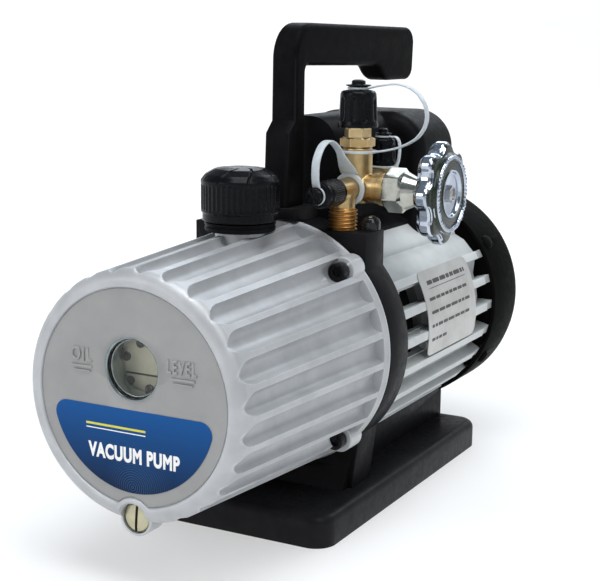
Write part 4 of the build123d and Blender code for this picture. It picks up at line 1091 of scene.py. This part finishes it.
def make_adapter():
    """Two stacked hexagons under the top cap."""
    x, y = MANIFOLD_X, COLUMN_Y
    low, high = corners("top_port_adapter")
    step = 212.6
    cap_foot = corners("top_cap")[0].z
    large = turned("adapter_large", [(0, low.z), (8.2, low.z, 0.2), (9.94, low.z + 0.8, 0.2),
        (9.94, step - 0.8, 0.2), (8.4, step, 0.2), (0, step)], (x, y, 0), "z", 96, hexagonal(17.2))
    small = turned("adapter_small", [(0, step), (7.74, step), (7.74, cap_foot - 0.5, 0.3),
        (6.4, cap_foot, 0.2), (0, cap_foot)], (x, y, 0), "z", 96, hexagonal(13.4, radians(14)))
    tube = turned("adapter_tube", [(4.4, cap_foot - 1), (7.2, cap_foot - 1), (7.2, high.z),
        (4.4, high.z)], (x, y, 0), "z", 48)
    place_piece(join("port_adapter", [large, small, tube]), "top_port_adapter", BRASS)


def make_bonnet():
    """Chamfered hexagon that runs into a cone."""
    nut = turned("bonnet_hex", [(3.3, 54.2), (10.4, 54.2, 0.3), (12.7, 55.4, 0.2), (12.7, 64, 0.2),
        (10.5, 65.8, 0.3), (8.6, 70, 3), (6.9, 74, 0.5), (5.8, 75, 0.4), (3.3, 75)],
        (0, COLUMN_Y, MANIFOLD_Z), "x", 144, hexagonal(21.8, radians(8)))
    place_piece(nut, "valve_bonnet", NICKEL)


BEAD_R = 20.8  # outer radius of the handwheel's beaded ring


def make_handwheel():
    """Eight-lobed plated wheel: dark flat front, beaded ring, dished centre and a hub nut."""
    low, high = corners("handwheel")
    back = low.x + 2
    rim_r = (high.z - low.z) / 2

    def shape(radius, height, angle):
        if radius > BEAD_R:
            share = smooth_step((radius - BEAD_R) / (rim_r - BEAD_R))
            wave = cos(8 * angle)
            lobe = -2.1 * (1 - (abs(wave) ** 0.75 * (1 if wave > 0 else -1)))
            radius += lobe * share
        elif 18.9 < radius < BEAD_R and height > 11.5:
            height += 0.5 * (0.5 + 0.5 * cos(58 * angle)) - 0.25 + 0.18 * cos(17 * angle + 1)
        return radius, height

    profile = rounded([(3.2, -2), (6.6, -2, 0.6), (8.4, 0.2, 0.8), (9.8, 3.8, 0.8), (19, 3.8, 1.2),
        (20.4, 0.6, 0.8), (22.4, 0, 0.6), (26.2, 0.3, 1.4), (rim_r, 2.8, 1.8), (rim_r, 7.6, 1.8),
        (26.4, 9.9, 1.2), (22.6, 10.2, 0.5), (21, 12, 0.3), (20.6, 12.9, 0.3), (19.2, 12.9, 0.3),
        (18.8, 11.6, 0.3), (13.6, 11.9, 0.3), (13, 12.7, 0.3), (12.3, 12.5, 0.25),
        (11.6, 10.9, 0.6), (5.6, 10.4, 0.3), (3.2, 10.4)])
    origin = (back, COLUMN_Y, MANIFOLD_Z)
    wheel = turned("wheel_casting", refined(profile, 0.7), origin, "x", 288, shape, smooth_angle=60)
    nut = turned("wheel_nut", [(3.2, 10.4), (4.7, 10.4), (4.7, 12.4, 0.3), (3.9, 13, 0.2),
        (3.2, 13)], origin, "x", 72, hexagonal(8.2))
    dress(wheel, CHROME_BLUE_REFLECTION, WHEEL_DARK)
    for face in wheel.data.polygons:
        place = face.center / MM
        reach = hypot(place.y - COLUMN_Y, place.z - MANIFOLD_Z)
        height = place.x - back
        front = height > 8.6 and BEAD_R + 0.1 < reach and face.normal.x > 0.45
        face.material_index = int(front or (height > 11 and 13.3 < reach < 18.9))
    dress(nut, STEEL)
    place_piece(join("handwheel_cast", [wheel, nut]), "handwheel", CHROME_BLUE_REFLECTION)


def make_stud():
    """Glossy domed head over the small boss beside the intake."""
    stud = turned("flange_stud", [(0, 8.6), (2.4, 8.4, 0.5), (3.2, 7.6, 0.6), (4.6, 7, 1),
        (5.6, 5, 1), (5.6, 0.2), (0, 0.2)], (48.4, -40.6, 162), "z", 72)
    place_piece(stud, "mid_flange", GLOSS_BLACK, replaces=False)


make_stud()
make_manifold()
make_adapter()
make_bonnet()
make_handwheel()


# ---- Rating label ----

LABEL_R = 69.5
LABEL_ANGLES = (radians(-11), radians(31))


def wrapped(name, material, y0, y1, angle0, angle1, inner, outer, corner, columns=28, rows=20):
    """A thin plate bent round the motor's axis, with rounded corners."""
    def grid(radius):
        points = []
        for column in range(columns + 1):
            share = column / columns
            y = y0 + (y1 - y0) * (0.5 - 0.5 * cos(pi * share))
            from_end = min(y - y0, y1 - y)
            trim = 0
            if from_end < corner:
                trim = corner - sqrt(max(0, corner ** 2 - (corner - from_end) ** 2))
            low, high = angle0 + trim / LABEL_R, angle1 - trim / LABEL_R
            for row in range(rows + 1):
                angle = low + (high - low) * row / rows
                points.append((radius * cos(angle), y, AXIS_Z + radius * sin(angle)))
        return points

    def at(column, row):
        return column * (rows + 1) + row

    points = grid(inner) + grid(outer)
    half = len(points) // 2
    faces = []
    for column in range(columns):
        for row in range(rows):
            quad = (at(column, row), at(column + 1, row), at(column + 1, row + 1),
                at(column, row + 1))
            faces.append(quad)
            faces.append(tuple(half + index for index in reversed(quad)))
    border = [at(c, 0) for c in range(columns)] + [at(columns, r) for r in range(rows)]
    border += [at(c, rows) for c in range(columns, 0, -1)] + [at(0, r) for r in range(rows, 0, -1)]
    for a, b in zip(border, border[1:] + border[:1]):
        faces.append((a, b, half + b, half + a))
    piece = new_piece(name, points, faces)
    dress(piece, material)
    return piece


def make_rating_label():
    """Foil with rounded corners and rows of plain grey bars where print would be."""
    low, high = corners("rating_label")
    angle0, angle1 = LABEL_ANGLES
    foil = wrapped("rating_foil", FOIL, low.y, high.y, angle0, angle1, LABEL_R - 0.4, LABEL_R, 5)
    place_piece(foil, "rating_label", FOIL)
    height = angle1 - angle0
    # each line's place and height as shares of the label, its start and end in mm, and whether
    # it is one unbroken rule
    lines = ((0.845, 0.05, 9, 67, False), (0.775, 0.008, 8, 68, True),
             (0.655, 0.036, 6, 64, False), (0.5, 0.036, 6, 66, False),
             (0.345, 0.036, 5, 64, False), (0.185, 0.036, 5, 27, False))
    chance = np.random.default_rng(7)
    bars = []
    for place, tall, start, stop, whole in lines:
        y = low.y + start
        middle = angle0 + height * place
        half = height * tall / 2
        while y < low.y + stop - 1.5:
            end = low.y + stop if whole else min(y + 3 + 7 * chance.random(), low.y + stop)
            bars.append(wrapped("label_bar", INK, y, end, middle - half, middle + half,
                                LABEL_R - 0.05, LABEL_R + 0.06, 0.25, 6, 2))
            y = end + 1.3
    printing = join("label_print", bars)
    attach(printing, "pump_body")


make_rating_label()


def make_window_shade_lining():
    """Painted shade: a dark sheet inside the housing, so that its windows look dark, as if the
    inside lay in shadow.
    """
    rear_window_shade = turned("motor_window_painted_shade", [(57.3, 72), (57.3, 106), (67.6, 106), (67.6, 106.6),
        (56.9, 106.6), (56.5, 88), (56.9, 72)], (0, 0, AXIS_Z), "y", 96)
    front = turned("front_window_painted_shade", [(57.3, -34), (57.3, 5), (56.9, 5), (56.6, -17), (56.9, -34)],
        (0, 0, AXIS_Z), "y", 96)
    place_piece(join("motor_window_painted_shade", [rear_window_shade, front]), "rear_cover", COVER_BLACK_AND_SHADE, replaces=False)


make_window_shade_lining()


# ---- Castings and mouldings with rounded edges ----

SOFTENED = {
    "base_plate": (BASE_BLACK, 0.5), "motor_pedestal": (BLACK_MOULDING, 0.8),
    "mid_flange": (BLACK_PAINT, 0.9), "capacitor_box": (BLACK_MOULDING, 0.8),
    "carry_handle": (GRIP, 0.5), "rear_cover": (COVER_BLACK_AND_SHADE, 0.5),
    "motor_housing": (MOTOR_SILVER, 0.45), "switch_frame": (BLACK_MOULDING, 0.4),
    "power_inlet": (BLACK_MOULDING, 0.4), "power_rocker": (GLOSS_BLACK, 0.5),
    "tank_bolts": (BLACK_BOLT, 0.5), "cover_screws": (GRIP, 0.2), "cover_lugs": (MOTOR_SILVER, 0.4)}
for soft_node, (soft_material, soft_width) in SOFTENED.items():
    soften_node(soft_node, soft_material, soft_width)


# ---- Stage ----

FLOOR_GLOW = (0.42, 0.62)  # the floor's own light beside the object and far away
RIGHT_SHADE = (1, 0.45)  # share of that light near the object and far to its right


def make_stage():
    """A pale floor that sweeps up into a low wall, and gets lighter away from the object."""
    sweep = [(0, 0), (0.3, 0), (0.7, 0), (1.1, 0)]
    sweep += [(2.2 + 0.6 * sin(radians(9 * step)), 0.6 - 0.6 * cos(radians(9 * step)))
        for step in range(10)]
    sweep.append((2.8, 0.9))
    profile = [(radius / MM, height / MM) for radius, height in sweep]
    points, faces = lathe(profile, (0, 0, 0), "z", 128)
    floor = new_piece("floor", points, faces[:-1])  # without the last face, which is a lid
    material, tree, surface = new_material("floor")
    place = object_place(tree)
    reach = tree.nodes.new("ShaderNodeVectorMath")
    reach.operation = "LENGTH"
    tree.links.new(place, reach.inputs[0])
    tone = patches(tree, grey(0.54), grey(0.56), 2)
    glow = ramp(tree, reach.outputs["Value"], *FLOOR_GLOW, 0.25, 1)
    parts = add_node(tree, "ShaderNodeSeparateXYZ", Vector=place)
    shade = ramp(tree, parts.outputs["X"], *RIGHT_SHADE, 0.22, 0.6)
    set_inputs(surface, Base_Color=tone, Roughness=0.8, Specular_IOR_Level=0.05,
        Emission_Color=(1, 1, 1, 1), Emission_Strength=product(tree, glow, shade))
    material.cycles.emission_sampling = "NONE"
    dress(floor, material)
    world = bpy.data.worlds.new("studio")
    world.use_nodes = True
    set_inputs(world.node_tree.nodes["Background"], Color=(0.76, 0.88, 1, 1), Strength=0.25)
    bpy.context.scene.world = world


def make_lamp(name, place, target, size, power, colour):
    data = bpy.data.lights.new(name, "AREA")
    data.shape = "RECTANGLE"
    data.size, data.size_y = size
    data.energy = power
    data.color = colour
    lamp = add_object(name, data)
    lamp.location = place
    lamp.rotation_mode = "QUATERNION"
    lamp.rotation_quaternion = (Vector(target) - Vector(place)).to_track_quat("-Z", "Y")


make_stage()
make_lamp("key", (-0.9, -1.6, 1.1), (0, -0.05, 0.12), (0.7, 0.7), 7, (1, 0.98, 0.96))
make_lamp("right", (1.2, -0.6, 1.4), (0, 0, 0.12), (0.8, 0.8), 6, (1, 0.97, 0.93))
make_lamp("top", (0.25, -0.4, 1.9), (0, 0, 0.1), (1.2, 1.2), 25, (0.95, 0.975, 1))
make_lamp("back", (-0.1, 1.7, 1.5), (0, 0, 0.15), (2.4, 1.2), 26, (0.88, 0.94, 1))
bpy.context.scene.view_settings.view_transform = "Standard"
